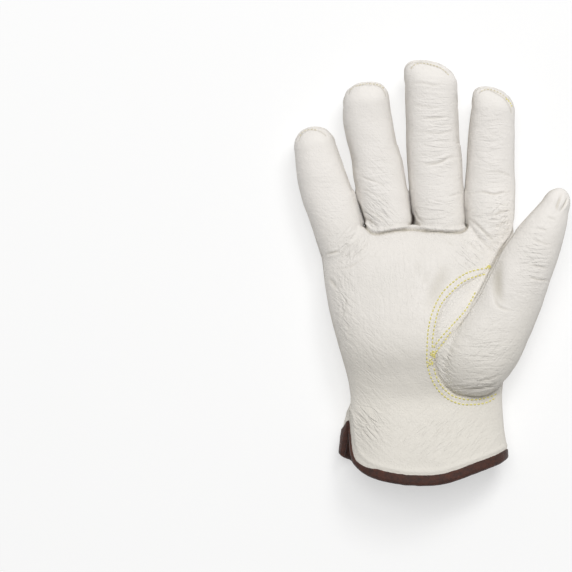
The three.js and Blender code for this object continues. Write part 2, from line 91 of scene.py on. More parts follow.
# Each digit from root to tip: its middle line, half its width and half its depth
DIGITS = {
    "little": {
        "x": [-42.6, -47.2, -51.2, -56.3, -60.0, -62.6],
        "y": [136, 150, 163, 178, 192, 205],
        "z": [15.5, 15.5, 15.5, 15.5, 16.0, 17.0],
        "half": [14.0, 14.3, 14.5, 14.6, 14.1, 12.6],
        "depth": [13.5, 13.8, 13.6, 13.2, 12.6, 11.4],
        "tip": (-65.8, 218.0, 18.0),
        "tip_power": 2.1,
    },
    "ring": {
        "x": [-14.4, -17.5, -19.6, -23.2, -25.4, -28.4, -31.2, -32.0],
        "y": [136, 150, 163, 178, 192, 207, 221, 231],
        "z": [15.5, 15.5, 15.5, 15.5, 16.0, 17.0, 18.5, 20.0],
        "half": [14.0, 13.9, 13.6, 14.5, 14.8, 14.4, 14.5, 13.8],
        "depth": [13.8, 14.0, 13.8, 13.6, 13.2, 12.8, 12.4, 11.8],
        "tip": (-31.4, 245.0, 21.0),
    },
    "middle": {
        "x": [12.8, 12.5, 11.5, 9.5, 8.0, 7.4, 6.8],
        "y": [136, 150, 163, 185, 203, 222, 242],
        "z": [15.5, 15.5, 15.5, 15.5, 16.5, 18.5, 21.0],
        "half": [14.0, 14.3, 14.5, 15.8, 16.1, 15.6, 15.4],
        "depth": [14.0, 14.2, 14.0, 13.8, 13.4, 12.8, 12.0],
        "tip": (0.0, 257.6, 22.5),
    },
    "index": {
        "x": [40.4, 41.6, 42.4, 42.3, 42.5, 43.1, 44.0],
        "y": [136, 150, 165, 182, 196, 213, 227],
        "z": [15.5, 15.5, 15.5, 15.5, 16.5, 18.0, 20.0],
        "half": [14.0, 14.2, 14.3, 14.9, 14.4, 14.0, 13.0],
        "depth": [13.6, 13.8, 13.6, 13.2, 13.0, 12.4, 11.6],
        "tip": (40.2, 241.8, 21.0),
    },
    "thumb": {
        "x": [27.4, 28.6, 32.0, 38.6, 47.2, 54.2, 60.6, 67.4, 74.9, 80.2],
        "y": [63, 68.5, 77, 88, 102, 116, 131, 145, 159, 170],
        "z": [23, 27, 30, 32, 33, 34, 35, 36, 37, 37.5],
        "half": [12.5, 18.4, 21.4, 22.0, 20.4, 18.8, 17.6, 15.6, 12.2, 8.4],
        "depth": [11.0, 17.0, 20.0, 20.0, 18.6, 17.0, 15.8, 14.2, 11.8, 9.4],
        "tip": (84.8, 180.4, 38.0),
        "tip_power": 1.9,
    },
}

PANELS = [
    "palm_panel", "back_panel", "two_finger_front", "thumb_outer", "thumb_gusset",
    "fork_little_ring", "fork_ring_middle", "fork_middle_index",
]

# The seams between two panels. A groove runs along each, and the leather beside it stands up in a
# ridge, on one panel only where proud names it.
Seam = namedtuple("Seam", "groove width ridge offset spread proud", defaults=(None,))
PLAIN_SEAM = Seam(0.7, 0.8, 0.25, 2.2, 1.2)
SEAMS = {
    ("palm_panel", "two_finger_front"): Seam(1.1, 0.9, 0.9, 2.0, 1.1, "two_finger_front"),
    ("palm_panel", "thumb_outer"): Seam(0.9, 0.9, 0.2, 2.4, 1.6),
    ("palm_panel", "thumb_gusset"): Seam(0.5, 0.7, 0.45, 1.8, 1.5, "palm_panel"),
    ("thumb_outer", "thumb_gusset"): Seam(0.6, 0.8, 0.25, 2.2, 1.4),
}
SEAM_REACH = 12  # how far from a seam its relief reaches

# The thumb's seam lies flat where it turns round the glove's side
FLAT_SEAM = {"middle": (50, 61.5), "reach": (4, 11)}

# Folds in the palm side's leather, each along a line of (x, y). Beside each crease stand two ridges.
Fold = namedtuple("Fold", "depth width line")
FOLD_SHAPE = {
    "facing": (0.05, 0.4), "taper": 0.42, "ridge": 0.3, "ridge_at": 2, "ridge_width": 1.2,
    "reach": 4, "margin": 2,
}
FOLDS = {
    "index joint": Fold(0.68, 0.62, [
        (28.5, 177.4), (36.4, 178.5), (43.9, 177.2), (49.3, 178.1), (56, 178.6)]),
    "index above joint": Fold(0.25, 0.93, [(36.4, 191), (49.3, 189.8), (56.3, 186.6)]),
    "index below joint": Fold(0.43, 0.74, [(39.6, 163.9), (44, 165), (50.4, 167), (56.3, 168.7)]),
    "index root side": Fold(0.43, 0.74, [(42.9, 155.8), (49.3, 159.6), (55.8, 161.2)]),
    "index root": Fold(0.65, 0.8, [(28.3, 163.3), (34.2, 158.5), (40.7, 152), (46.1, 146.6)]),
    "index root lower": Fold(0.32, 0.7, [(29.9, 157.4), (35.3, 150.9), (41.8, 144.5), (47.2, 141.2)]),
    "life line": Fold(0.6, 5.0, [(17, 139), (11.6, 127.2), (8.3, 118.6), (4.5, 104)]),
    "palm middle": Fold(0.3, 3.6, [(-2.4, 139.2), (-1.2, 131.4), (-1.6, 121)]),
    "palm beside life line": Fold(0.3, 2.4, [(5, 135), (1.8, 121.8)]),
    "little root upper": Fold(0.68, 0.74, [(-57.5, 141), (-52.1, 142.3), (-47.5, 143.4)]),
    "little root curve": Fold(0.24, 0.7, [
        (-55, 132), (-48.9, 132.6), (-42.4, 133.7), (-37, 136.9), (-32.7, 140.2), (-30.6, 143.4)]),
    "hand side": Fold(0.5, 1.1, [(-55.4, 127.6), (-52.4, 124.2), (-49, 120)]),
    "little crotch": Fold(0.26, 0.65, [(-42.4, 139.1), (-37, 142.3), (-32.7, 147.7), (-30.9, 152.6)]),
    "ring middle": Fold(0.37, 0.62, [(-38.1, 189.8), (-32.7, 186.6), (-26.2, 184.4), (-19.8, 181.2)]),
    "ring lower": Fold(0.28, 0.62, [(-36, 181), (-30.5, 178.6), (-24, 174.2)]),
    "ring root outer": Fold(0.5, 0.62, [(-33.8, 163.9), (-29.4, 160.6), (-26.2, 157.8)]),
    "ring root": Fold(0.43, 0.62, [(-32, 169.2), (-25.2, 163.9), (-19.8, 159)]),
    "middle tip": Fold(0.28, 0.68, [(-7.9, 242.2), (-0.3, 243.7), (8.3, 242.1), (13.7, 243.2)]),
    "middle upper": Fold(0.25, 0.81, [(-6.8, 231.3), (3, 229.4), (12.6, 228.6)]),
    "middle third": Fold(0.28, 0.81, [(-2.4, 223.2), (8.4, 222.7), (19.2, 223.8)]),
    "middle half": Fold(0.28, 0.81, [(-3.6, 214.6), (10.5, 213.6), (22.2, 215.7)]),
    "middle joint": Fold(0.56, 0.87, [(-2.4, 196.2), (4, 195.2), (11.6, 196.2), (17, 199), (24.5, 200.6)]),
    "middle root side": Fold(0.31, 0.68, [(15.9, 175.8), (24.4, 178)]),
    "middle root": Fold(0.37, 0.62, [(-3.6, 169.3), (-1.4, 163.9), (2.4, 159.6)]),
    "thumb upper": Fold(0.28, 0.68, [(73.1, 163.9), (80.6, 161.2)]),
    "thumb below tip": Fold(0.28, 0.68, [(66.5, 157.6), (75.2, 154.8)]),
    "thumb middle": Fold(0.31, 0.74, [(63.4, 150.9), (72, 147.7), (77.4, 146.6)]),
    "thumb joint upper": Fold(0.43, 0.68, [(62, 135.8), (69.8, 133.7), (76.4, 132.4)]),
    "thumb joint lower": Fold(0.5, 0.68, [(61.4, 128.1), (69.8, 126.1), (77, 125.6)]),
    "thumb tip seam": Fold(1.0, 0.6, [(80.6, 165.6), (80.4, 169.6), (82, 173.6), (84.2, 178.6)]),
    "thumb tip seam outer": Fold(0.9, 0.6, [(81, 165.6), (84.2, 169.4), (86.2, 173), (86.8, 176.5)]),
    "thumb valley": Fold(1.0, 3.4, [(47.4, 144), (45.4, 133), (45, 124), (45.8, 116), (49.6, 108)]),
    "thumb valley fold": Fold(0.45, 0.75, [(42.4, 118.5), (44.6, 111.5), (49.4, 108.4), (55, 108)]),
    "thumb base": Fold(0.56, 0.74, [(19.1, 61.8), (29.9, 60.8), (40.7, 62.5), (47, 65)]),
    "thumb base upper": Fold(0.31, 0.81, [(30, 64.6), (40, 67), (49, 70.6)]),
    "wrist side upper": Fold(0.28, 0.81, [(-40.8, 47.8), (-34.8, 43.1), (-29.4, 37.7)]),
    "wrist side lower": Fold(0.22, 0.81, [(-39.2, 40.9), (-33.8, 35.5), (-30.6, 31.2)]),
}


# Reading tables and building forms

def between(values, share):
    """A column of a table at shares of its length, passing smoothly through every row."""
    values = np.asarray(values, float)
    last = len(values) - 1
    place = np.clip(share, 0, 1) * last
    i = np.minimum(place.astype(int), last - 1)
    t = place - i
    p0, p1 = values[np.maximum(i - 1, 0)], values[i]
    p2, p3 = values[i + 1], values[np.minimum(i + 2, last)]
    v0, v1 = (p2 - p0) / 2, (p3 - p1) / 2
    return (2 * p1 - 2 * p2 + v0 + v1) * t**3 + (3 * p2 - 3 * p1 - 2 * v0 - v1) * t**2 + v0 * t + p1


def smoothstep(value, low, high):
    t = np.clip((value - low) / (high - low), 0, 1)
    return t * t * (3 - 2 * t)


def curved(value, power):
    """A number raised to 2 / power with its sign kept, as a superellipse needs."""
    return np.sign(value) * np.abs(value) ** (2 / power)


def bell(value, width):
    """1 where the value is 0, falling away on both sides."""
    return np.exp(-((value / width) ** 2))


def falling(value, high, low):
    """1 below the low value, fading out to 0 at the high one."""
    return smoothstep(-value, -high, -low)


def window(value, begin, full, until, end):
    """1 between two values, fading out to 0 on both sides."""
    return smoothstep(value, begin, full) * (1 - smoothstep(value, until, end))


def tapered(place, share):
    """1 along a line, fading out to 0 over a share of it at each end."""
    return smoothstep(np.minimum(place, 1 - place), 0, share)


def unit(vectors):
    return vectors / np.maximum(np.linalg.norm(vectors, axis=-1, keepdims=True), 1e-9)


def loft(rings, start, end):
    """Points and faces of a closed skin through rings of equally many points, pointed at both ends."""
    count, sides = rings.shape[:2]
    points = np.concatenate([rings.reshape(-1, 3), [start, end]])
    i = np.arange(sides)
    j = (i + 1) % sides
    faces = []
    for r in range(0, (count - 1) * sides, sides):
        faces += np.stack([r + i, r + j, r + sides + j, r + sides + i], 1).tolist()
    last = (count - 1) * sides
    faces += np.stack([np.full(sides, len(points) - 2), j, i], 1).tolist()
    faces += np.stack([np.full(sides, len(points) - 1), last + i, last + j], 1).tolist()
    return points, faces


def joined(forms):
    """Meshes, each as its points and faces, as one."""
    points, faces, total = [], [], 0
    for form_points, form_faces in forms:
        points.append(form_points)
        faces += [[total + i for i in face] for face in form_faces]
        total += len(form_points)
    return np.concatenate(points), faces


def around(sides):
    """The cosine and sine of each side's angle."""
    angle = -np.arange(sides) / sides * 2 * np.pi
    return np.cos(angle), np.sin(angle)


def hand_form(steps=90, sides=180):
    """The hand's body."""
    share = np.linspace(0, 1, steps)[:, None]
    row = {name: between(values, share) for name, values in HAND.items()}
    c, s = around(sides)
    x = (row["left"] + row["right"]) / 2 + (row["right"] - row["left"]) / 2 * curved(c, BODY_POWER)
    x = x - row["flare"] * smoothstep(-s, *FLARED) * np.maximum(0, -c)
    z = (row["top"] + row["base"]) / 2 + (row["top"] - row["base"]) / 2 * curved(s, BODY_POWER)
    rings = np.stack([x, np.broadcast_to(row["y"], x.shape), z], 2)
    return loft(rings, rings[0].mean(0), rings[-1].mean(0))


def digit_centre(digit, share):
    return np.stack([between(digit[axis], share) for axis in "xyz"], 1)


def digit_form(digit, steps=60, cap_steps=14, sides=72):
    """A digit from inside the hand to its rounded tip."""
    share = np.linspace(0, 1, steps)
    ahead, behind = np.minimum(1, share + AHEAD), np.maximum(0, share - AHEAD)
    along = unit(digit_centre(digit, ahead) - digit_centre(digit, behind))
    centre = digit_centre(digit, share)
    half, depth = between(digit["half"], share), between(digit["depth"], share)
    gap = np.array(digit["tip"]) - centre[-1]
    straight = along[-1] * (gap @ along[-1])
    reach = np.sin(np.arange(1, cap_steps) / (cap_steps - CAP_SHORT) * np.pi / 2)
    power = digit.get("tip_power", TIP_POWER)
    shrink = (1 - reach**power) ** (1 / power)
    cap = centre[-1] + straight * reach[:, None] + (gap - straight) * reach[:, None] ** 2
    centre = np.concatenate([centre, cap])
    along = np.concatenate([along, np.repeat(along[-1:], len(cap), 0)])
    half = np.concatenate([half, half[-1] * shrink])
    depth = np.concatenate([depth, depth[-1] * shrink])
    across = unit(np.cross(along, [0, 0, 1]))
    up = np.cross(across, along)
    c, s = (curved(value, DIGIT_POWER) for value in around(sides))
    rings = centre[:, None] + (half[:, None] * c)[..., None] * across[:, None]
    rings = rings + (depth[:, None] * s)[..., None] * up[:, None]
    return loft(rings, centre[0], np.array(digit["tip"]))


# Working with a mesh as arrays

def reshaped(points, faces, kind, values, free=None):
    """The points and faces that a modifier makes of a mesh. Where free is given, only those points move."""
    mesh = bpy.data.meshes.new("form")
    mesh.from_pydata(points.tolist(), [], faces)
    scratch = bpy.data.objects.new("form", mesh)
    bpy.context.collection.objects.link(scratch)
    modifier = scratch.modifiers.new("change", kind)
    for name, value in values.items():
        setattr(modifier, name, value)
    if free is not None:
        scratch.vertex_groups.new(name="free").add(np.flatnonzero(free).tolist(), 1.0, "REPLACE")
        modifier.vertex_group = "free"
    result = scratch.evaluated_get(bpy.context.evaluated_depsgraph_get()).to_mesh()
    co = np.zeros(len(result.vertices) * 3)
    result.vertices.foreach_get("co", co)
    corners = np.zeros(len(result.loops), int)
    result.loops.foreach_get("vertex_index", corners)
    corners = corners.reshape(len(result.polygons), -1)
    bpy.data.objects.remove(scratch)
    bpy.data.meshes.remove(mesh)
    return co.reshape(-1, 3), corners


def tree_of(points):
    """A tree that finds the nearest of the points."""
    tree = KDTree(len(points))
    for i, point in enumerate(points):
        tree.insert(point, i)
    tree.balance()
    return tree


def thinned(points, faces, held):
    """A skin with fewer faces, and where each held point, which stays in its place, comes in it."""
    values = {"ratio": INNER_SHARE, "use_collapse_triangulate": True}
    left, left_faces = reshaped(points, faces.tolist(), "DECIMATE", values, ~held)
    tree = tree_of(left)
    place = np.zeros(len(points), int)
    place[held] = [tree.find(point)[1] for point in points[held]]
    return left, left_faces, place


def edges_of(quads):
    """Each edge once as two vertices, and the face at each of its sides, or -1."""
    pairs = np.stack([quads, np.roll(quads, -1, 1)], 2).reshape(-1, 2)
    owner = np.repeat(np.arange(len(quads)), 4)
    pairs.sort(axis=1)
    order = np.lexsort((pairs[:, 1], pairs[:, 0]))
    pairs, owner = pairs[order], owner[order]
    first = np.ones(len(pairs), bool)
    first[1:] = (pairs[1:] != pairs[:-1]).any(1)
    starts = np.flatnonzero(first)
    other = np.full(len(starts), -1)
    twice = np.diff(np.append(starts, len(pairs))) > 1
    other[twice] = owner[starts[twice] + 1]
    return pairs[starts], np.stack([owner[starts], other], 1)


def neighbour_mean(values, edges):
    """The mean over each vertex's neighbours along the edges, and how many it has."""
    ends, others = np.concatenate([edges, edges[:, ::-1]]).T
    number = np.bincount(ends, minlength=len(values))
    sums = [np.bincount(ends, values[others, k], len(values)) for k in range(values.shape[1])]
    return np.stack(sums, 1) / np.maximum(number, 1)[:, None], number


def smoothed(points, edges, times, share=0.5, moving=None):
    """The points drawn towards their neighbours. Where moving is given, only those points move."""
    for _ in range(times):
        mean, number = neighbour_mean(points, edges)
        step = (mean - points) * share
        still = number == 0 if moving is None else ~moving
        step[still] = 0
        points = points + step
    return points


def rim_of(quads):
    """The edges that only one face has."""
    edges, sides = edges_of(quads)
    return edges[sides[:, 1] < 0]


def own_points(quads):
    """The points that some faces use, and the faces as numbers of those points alone."""
    used, inverse = np.unique(quads, return_inverse=True)
    return used, inverse.reshape(-1, 4)


def vertex_normals(points, faces):
    a, b, c, d = (points[faces[:, k]] for k in (0, 1, 2, -1))
    face = np.cross(c - a, d - b)
    corners = faces.shape[1]
    total = [np.bincount(faces.ravel(), np.repeat(face[:, k], corners), len(points)) for k in range(3)]
    return unit(np.stack(total, 1))


# The skin: the glove's whole outer surface

def on_floor(points):
    """The points with what lies under the floor laid flat on it, or on the binding at the cuff."""
    lift = LIFT["height"] * (1 - smoothstep(points[:, 1], LIFT["end"], LIFT["fade"]))
    above = points[:, 2] - lift
    laid = points.copy()
    laid[:, 2] = lift + (above + np.sqrt(above**2 + FLOOR_ROUNDING**2)) / 2
    return laid


def glove_skin():
    """One closed skin of even quads round the hand and its digits."""
    forms = [hand_form(), *(digit_form(digit) for digit in DIGITS.values())]
    skin, quads = reshaped(*joined(forms), "REMESH", {"mode": "VOXEL", "voxel_size": FINE_GRID})
    edges, _ = edges_of(quads)
    return smoothed(on_floor(skin), edges, SMOOTHING["skin"]), quads


def cad_tree(names):
    """The frame's nodes as one tree, and which of the names each face belongs to."""
    meshes = [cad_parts[name].data for name in names]
    points, faces = joined(
        ([Vector(v.co / MM) + Vector(ORIGIN) for v in mesh.vertices], [p.vertices for p in mesh.polygons])
        for mesh in meshes
    )
    owner = np.repeat(np.arange(len(meshes)), [len(mesh.polygons) for mesh in meshes])
    return BVHTree.FromPolygons(points.tolist(), faces), owner


def line_at(line, place, steps=40):
    """The height of a line of (place, height) points, smooth through all of them."""
    line = np.array(line, float)
    share = np.linspace(0, 1, steps * len(line))
    return np.interp(place, between(line[:, 0], share), between(line[:, 1], share))


def cut_away(points):
    """Whether a point lies past the hem or inside the slit."""
    x, y, z = points.T
    past_hem = y < line_at(HEM, x)
    slant, depth = (x + z) / math.sqrt(2), (x - z) / math.sqrt(2)
    beside = (y < SLIT_END["y"]) & (depth < SLIT_END["depth"])
    in_palm = beside & (slant > SLIT_END["slant"]) & (slant < line_at(SLIT_PALM, y))
    roof = np.interp(y, [SLIT_PALM[0][0], SLIT_END["y"]], [SLIT_END["mouth_z"], SLIT_END["z"]])
    low = (y < SLIT_END["y"]) & (x < SLIT_END["x"])
    in_back = low & (z > line_at(SLIT_BACK, y)) & (z < roof)
    return past_hem | in_palm | in_back


def labelled(skin, quads):
    """The skin trimmed at the hem, and the panel that each of its faces belongs to."""
    centres = skin[quads].mean(1)
    kept = ~cut_away(centres)
    quads, centres = quads[kept], centres[kept]
    tree, owner = cad_tree(PANELS)
    return quads, owner[[tree.find_nearest(centre)[2] for centre in centres]]


def majority(label, quads):
    """The labels after each face takes the one that most of its neighbours have."""
    _, sides = edges_of(quads)
    inner = sides[(sides >= 0).all(1)]
    for _ in range(VOTING["rounds"]):
        votes = np.zeros((len(label), len(PANELS)))
        np.add.at(votes, (inner[:, 0], label[inner[:, 1]]), 1)
        np.add.at(votes, (inner[:, 1], label[inner[:, 0]]), 1)
        votes[np.arange(len(label)), label] += VOTING["own"]
        label = votes.argmax(1)
    return label


def largest_parts(quads, label):
    """The labels with the islands of each panel given to the panel round them."""
    edges, sides = edges_of(quads)
    inner = sides[(sides >= 0).all(1)]
    same = inner[label[inner[:, 0]] == label[inner[:, 1]]]
    group = np.arange(len(quads))
    changed = True
    while changed:
        low = np.minimum(group[same[:, 0]], group[same[:, 1]])
        before = group.copy()
        np.minimum.at(group, same[:, 0], low)
        np.minimum.at(group, same[:, 1], low)
        group = group[group]
        changed = (group != before).any()
    sizes = np.bincount(group, minlength=len(quads))
    main = np.zeros(len(PANELS), int)
    for index in range(len(PANELS)):
        members = np.flatnonzero(label == index)
        main[index] = group[members[sizes[group[members]].argmax()]]
    stray = group != main[label]
    while stray.any():
        edge = inner[stray[inner[:, 0]] != stray[inner[:, 1]]]
        if not len(edge):
            break
        inside = np.where(stray[edge[:, 0]], edge[:, 0], edge[:, 1])
        outside = np.where(stray[edge[:, 0]], edge[:, 1], edge[:, 0])
        label[inside] = label[outside]
        stray[inside] = False
    return label, stray


def straightened(skin, quads, label):
    """The skin with its seams and its trimmed edge drawn into smooth lines."""
    edges, sides = edges_of(quads)
    open_edge = sides[:, 1] < 0
    seam = open_edge.copy()
    seam[~open_edge] = label[sides[~open_edge, 0]] != label[sides[~open_edge, 1]]
    lines = edges[seam]
    number = np.bincount(lines.ravel(), minlength=len(skin))
    skin = smoothed(skin, lines, SMOOTHING["seams"], moving=number == 2)
    return smoothed(skin, edges, SMOOTHING["beside_seams"], moving=number == 0)


# Seams, folds and wrinkles

def seam_field(skin, quads, label):
    """For each vertex: how far the nearest seam is, and which pair of panels it joins."""
    edges, sides = edges_of(quads)
    inner = (sides >= 0).all(1)
    inner[inner] = label[sides[inner, 0]] != label[sides[inner, 1]]
    pairs = np.sort(label[sides[inner]], axis=1)
    tree = tree_of(skin[edges[inner]].mean(1))
    found = [tree.find(point) for point in skin]
    distance = np.array([hit[2] for hit in found])
    return distance, pairs[[hit[1] for hit in found]]


def vertex_labels(quads, label, count):
    """The panel that most of a vertex's faces belong to."""
    votes = np.zeros((count, len(PANELS)))
    np.add.at(votes, (quads.ravel(), np.repeat(label, 4)), 1)
    return votes.argmax(1)


def seam_relief(skin, quads, label):
    """How far each seam presses the skin in, and its ridges push it out."""
    distance, pairs = seam_field(skin, quads, label)
    own = vertex_labels(quads, label, len(skin))
    height = np.zeros(len(skin))
    for pair in combinations(range(len(PANELS)), 2):
        at = (pairs == pair).all(1) & (distance < SEAM_REACH)
        seam = SEAMS.get((PANELS[pair[0]], PANELS[pair[1]]), PLAIN_SEAM)
        d = distance[at]
        ridge = seam.ridge * bell(d - seam.offset, seam.spread)
        if seam.proud:
            ridge = ridge * (own[at] == PANELS.index(seam.proud))
        height[at] = ridge - seam.groove * bell(d, seam.width)
    from_flat = np.hypot(*(skin[:, :2] - FLAT_SEAM["middle"]).T)
    return height * smoothstep(from_flat, *FLAT_SEAM["reach"]), distance


def along_line(points, line, steps=12):
    """For points seen from above: the distance to a smooth line, and how far along it that is."""
    line = np.array(line, float)
    share = np.linspace(0, 1, (len(line) - 1) * steps + 1)
    path = np.stack([between(line[:, k], share) for k in (0, 1)], 1)
    best = np.full(len(points), np.inf)
    place = np.zeros(len(points))
    for i in range(len(path) - 1):
        start, step = path[i], path[i + 1] - path[i]
        t = np.clip((points - start) @ step / (step @ step), 0, 1)
        gap = np.hypot(*(points - start - t[:, None] * step).T)
        closer = gap < best
        best[closer] = gap[closer]
        place[closer] = (i + t[closer]) / (len(path) - 1)
    return best, place


def beside_line(skin, line, reach, usable):
    """Which of the usable points lie near a line, how far off each is, and how far along it."""
    line = np.array(line)
    near = ((skin[:, :2] > line.min(0) - reach) & (skin[:, :2] < line.max(0) + reach)).all(1)
    at = np.flatnonzero(near & usable)
    return at, *along_line(skin[at, :2], line)


def fold_relief(skin, normals, folds):
    """The folds of the palm side: a crease along each line with soft ridges beside it."""
    height = np.zeros(len(skin))
    facing = smoothstep(normals[:, 2], *FOLD_SHAPE["facing"])
    for fold in folds:
        reach = FOLD_SHAPE["reach"] * fold.width + FOLD_SHAPE["margin"]
        at, d, place = beside_line(skin, fold.line, reach, facing > 0)
        from_ridge = d - FOLD_SHAPE["ridge_at"] * fold.width
        ridge = FOLD_SHAPE["ridge"] * bell(from_ridge, FOLD_SHAPE["ridge_width"] * fold.width)
        shape = ridge - bell(d, fold.width)
        height[at] += fold.depth * shape * tapered(place, FOLD_SHAPE["taper"]) * facing[at]
    return height


NOISE_SHIFT = (17.3, 5.1, 29.7)  # sets the noise of each seed apart


def noise_at(points, scale, seed):
    """Smooth noise with features of about that many millimetres."""
    shift = Vector([seed * part for part in NOISE_SHIFT])
    return np.array([noise.noise(Vector(p) / scale + shift) for p in points])


# Gaps, grooves and wrinkles

# The gaps between two fingers: at each y, where its two walls stand and how far each is moved along x.
# dark says how strongly shade is painted into it. Deep in a gap, fading in from one z down to the other and
# at both ends of the y, its walls touch and shade is painted on them there.
GAP_Y = [156, 161.4, 163.8, 166.8, 170.4, 174.0, 177.6, 181.2, 186.0, 190.8, 198.0, 207.0]
GAPS = {
    "little and ring": {
        "dark": 0.85,
        "left": [-34.6, -35.1, -35.5, -36.7, -37.8, -39.0, -40.2, -41.2, -43.0, -44.7, -47.2, -50.5],
        "right": [-32.0, -32.4, -32.6, -33.6, -34.9, -37.3, -38.4, -39.0, -39.4, -40.3, -41.7, -43.0],
        "left_move": [0, 1.2, 1.3, 1.3, 1.3, 1.2, 1.5, 0.9, 0.5, 0.3, 0.2, 0],
        "right_move": [0, -0.3, -0.8, -0.8, -0.7, 0.0, 0.4, 0.4, 0.1, 0.2, 0.6, 0],
    },
    "ring and middle": {
        "dark": 1.0,
        "left": [-6.0, -6.3, -6.6, -7.1, -7.3, -7.8, -8.3, -8.9, -9.6, -10.4, -11.5, -13.0],
        "right": [-2.2, -2.4, -2.5, -3.6, -4.1, -4.7, -5.4, -6.0, -6.4, -7.3, -7.8, -8.4],
        "left_move": [0, 1.4, 1.7, 1.6, 1.3, 1.3, 1.5, 1.1, 0.9, 0.8, 1.0, 0.4],
        "right_move": [0, -0.6, -0.9, -0.7, -0.7, -0.6, -0.3, -0.3, -0.1, 0.3, 0.2, 0],
    },
    "middle and index": {
        "dark": 0.5,
        "left": [25.2, 25.2, 25.2, 25.1, 25.0, 25.0, 25.0, 25.1, 25.1, 24.7, 24.3, 23.7],
        "right": [28.2, 28.2, 28.1, 28.0, 27.7, 27.6, 27.4, 27.6, 27.7, 28.1, 28.2, 28.4],
        "left_move": [0, 1.6, 1.7, 1.5, 1.3, 1.2, 0.9, 1.2, 0.6, 0.8, 1.1, 0.5],
        "right_move": [0, -0.3, -0.6, -0.7, -0.8, -0.7, -0.5, -0.5, -0.1, 0, 0, 0],
    },
}
GAP_REACH = 9.0  # how far beside a gap the leather is moved with its wall
GAP_TOUCH = {"z": (22, 18), "y": (157.5, 160.5, 177, 182), "overlap": 0.4}
# Painted shade deep in each gap: fading in from one z down to the other, along the y, and how far beside the
# walls it reaches
PAINTED_GAP_SHADE = {"z": (26, 20), "y": (157, 160, 175, 184), "reach": 0.5}
WELT_LINE = [
    (-33.2, 161.6), (-32.4, 157.4), (-29.6, 154.4), (-25.4, 153.6), (-15, 155.4), (-4.2, 156.6),
    (6, 155.1), (16, 154.4), (22.8, 154.5), (26.6, 156), (28.8, 159.6),
]
WELT = {
    "height": 0.9, "width": 0.75, "inset": 1.1, "groove": 0.55, "groove_width": 0.5,
    "valley": 0.35, "valley_width": 0.9, "valley_inset": 2.6,
}

# Where the thumb lies on the palm: a groove, and shade painted along it where little light comes out
CONTACT = {
    "line": [(56.9, 163), (56, 157), (54, 152.7), (50.9, 148.4), (47.6, 143.6), (44, 137.6), (40.6, 131.2)],
    "depth": 0.6, "width": 0.55, "dark": 0.42,
}

# The seams across the fingertips, seen just inside their outlines
TIP_SEAMS = [
    [(-73.4, 208.6), (-71.8, 212.6), (-68.6, 215.2), (-65.2, 216), (-60, 215.4), (-55.2, 212)],
    [(-43.6, 236.6), (-41.2, 241), (-37.4, 242.4), (-29.8, 243), (-24.5, 242.2), (-21.2, 239), (-19.8, 235)],
    [(-6.6, 251.4), (-4, 254.6), (-0.6, 255.8), (8, 254.4), (13.2, 252.4), (17.5, 248.6)],
    [(34, 237.4), (37.1, 239.6), (41.3, 239.8), (46.7, 237.2), (51, 234), (53.7, 229.2), (55.2, 225)],
]
TIP_SEAM = {"depth": 0.65, "width": 0.5}

# A plain groove or ridge marks the leather that faces up more than turned and lies above that height
GROOVE = {"reach": 5, "turned": -0.3, "above": 10, "taper": 0.06}

# Small random wrinkles by region: how many lie round a middle, within a spread, and which way they run
Region = namedtuple("Region", "middle spread turn count length depth")
WRINKLES = {
    "index": Region((42, 205), (9, 24), 4, 30, 11, 0.13),
    "index root": Region((42, 160), (10, 12), 18, 26, 9, 0.24),
    "index root side": Region((49, 165), (6, 12), 22, 12, 8, 0.2),
    "middle": Region((9, 210), (10, 30), 2, 42, 13, 0.15),
    "middle root": Region((10, 168), (10, 9), 14, 14, 8, 0.2),
    "ring": Region((-25, 185), (8, 24), -22, 34, 10, 0.14),
    "ring root": Region((-25, 165), (8, 7), -42, 20, 7, 0.34),
    "little": Region((-52, 172), (9, 20), -16, 22, 9, 0.08),
    "little root": Region((-42, 145), (9, 8), 52, 34, 8, 0.3),
    "hand side": Region((-46, 110), (6, 26), -64, 46, 6, 0.22),
    "heel": Region((-30, 80), (12, 24), -60, 34, 6, 0.1),
    "wrist": Region((-30, 40), (10, 12), -38, 24, 9, 0.26),
    "cuff": Region((10, 32), (30, 14), 50, 24, 9, 0.14),
    "palm": Region((-6, 120), (22, 26), 84, 30, 12, 0.07),
    "index side palm": Region((30, 143), (10, 9), -42, 26, 8, 0.3),
    "thumb": Region((66, 138), (9, 22), -12, 36, 9, 0.2),
    "thumb ball": Region((38, 86), (18, 18), 20, 40, 8, 0.16),
    "thumb seam": Region((14, 78), (6, 12), -38, 34, 5, 0.2),
    "thumb base": Region((32, 62), (14, 4), 8, 24, 9, 0.3),
}

# How the wrinkles of a region are drawn at random
WRINKLE_DRAW = {
    "seed": 7,
    "scatter": 0.6, "turn": 14, "half": (0.3, 0.75), "bow": 0.18, "depth": (0.35, 1.1), "share": 0.5,
    "width": (0.5, 0.75),
}

# The directions that fine wrinkles run in, in degrees, and how strongly the leather is marked with them
GRAIN_TURNS = {"lines_0": 0, "lines_45": 45, "lines_90": 90, "lines_135": 135}
GRAIN_LINES = {"least": 0.08, "strength": 4.2, "spread": 45}
# The grain is strongest beside the seams
GRAIN = {"least": 0.25, "at_seam": 0.55, "reach": 5}

# Slow swells of the leather and the tape: noise of a size in millimetres and how far it moves them
SWELLS = [
    {"size": 26, "depth": 0.55, "seed": 1},
    {"size": 11, "depth": 0.22, "seed": 2},
    {"size": 4.6, "depth": 0.1, "seed": 3},
]
TAPE_SWELLS = [{"size": 3.2, "depth": 0.1, "seed": 5}, {"size": 9.0, "depth": 0.12, "seed": 6}]

PAINTED_CREASE_SHADE_FULL = 1.2  # how deep a crease has its full painted shade
PAINTED_SIDE_SHADE = {"from": 0.5, "share": 0.85}  # painted shade on the leather where it turns down at the sides
PAINTED_CUFF_SHADE = {"from": 125, "full": 50, "share": 0.66}  # painted shade: the leather darker and yellower towards the cuff
PAINTED_FINGER_LIGHT = {"from": 140, "full": 185}  # painted light: the leather paler on the fingers
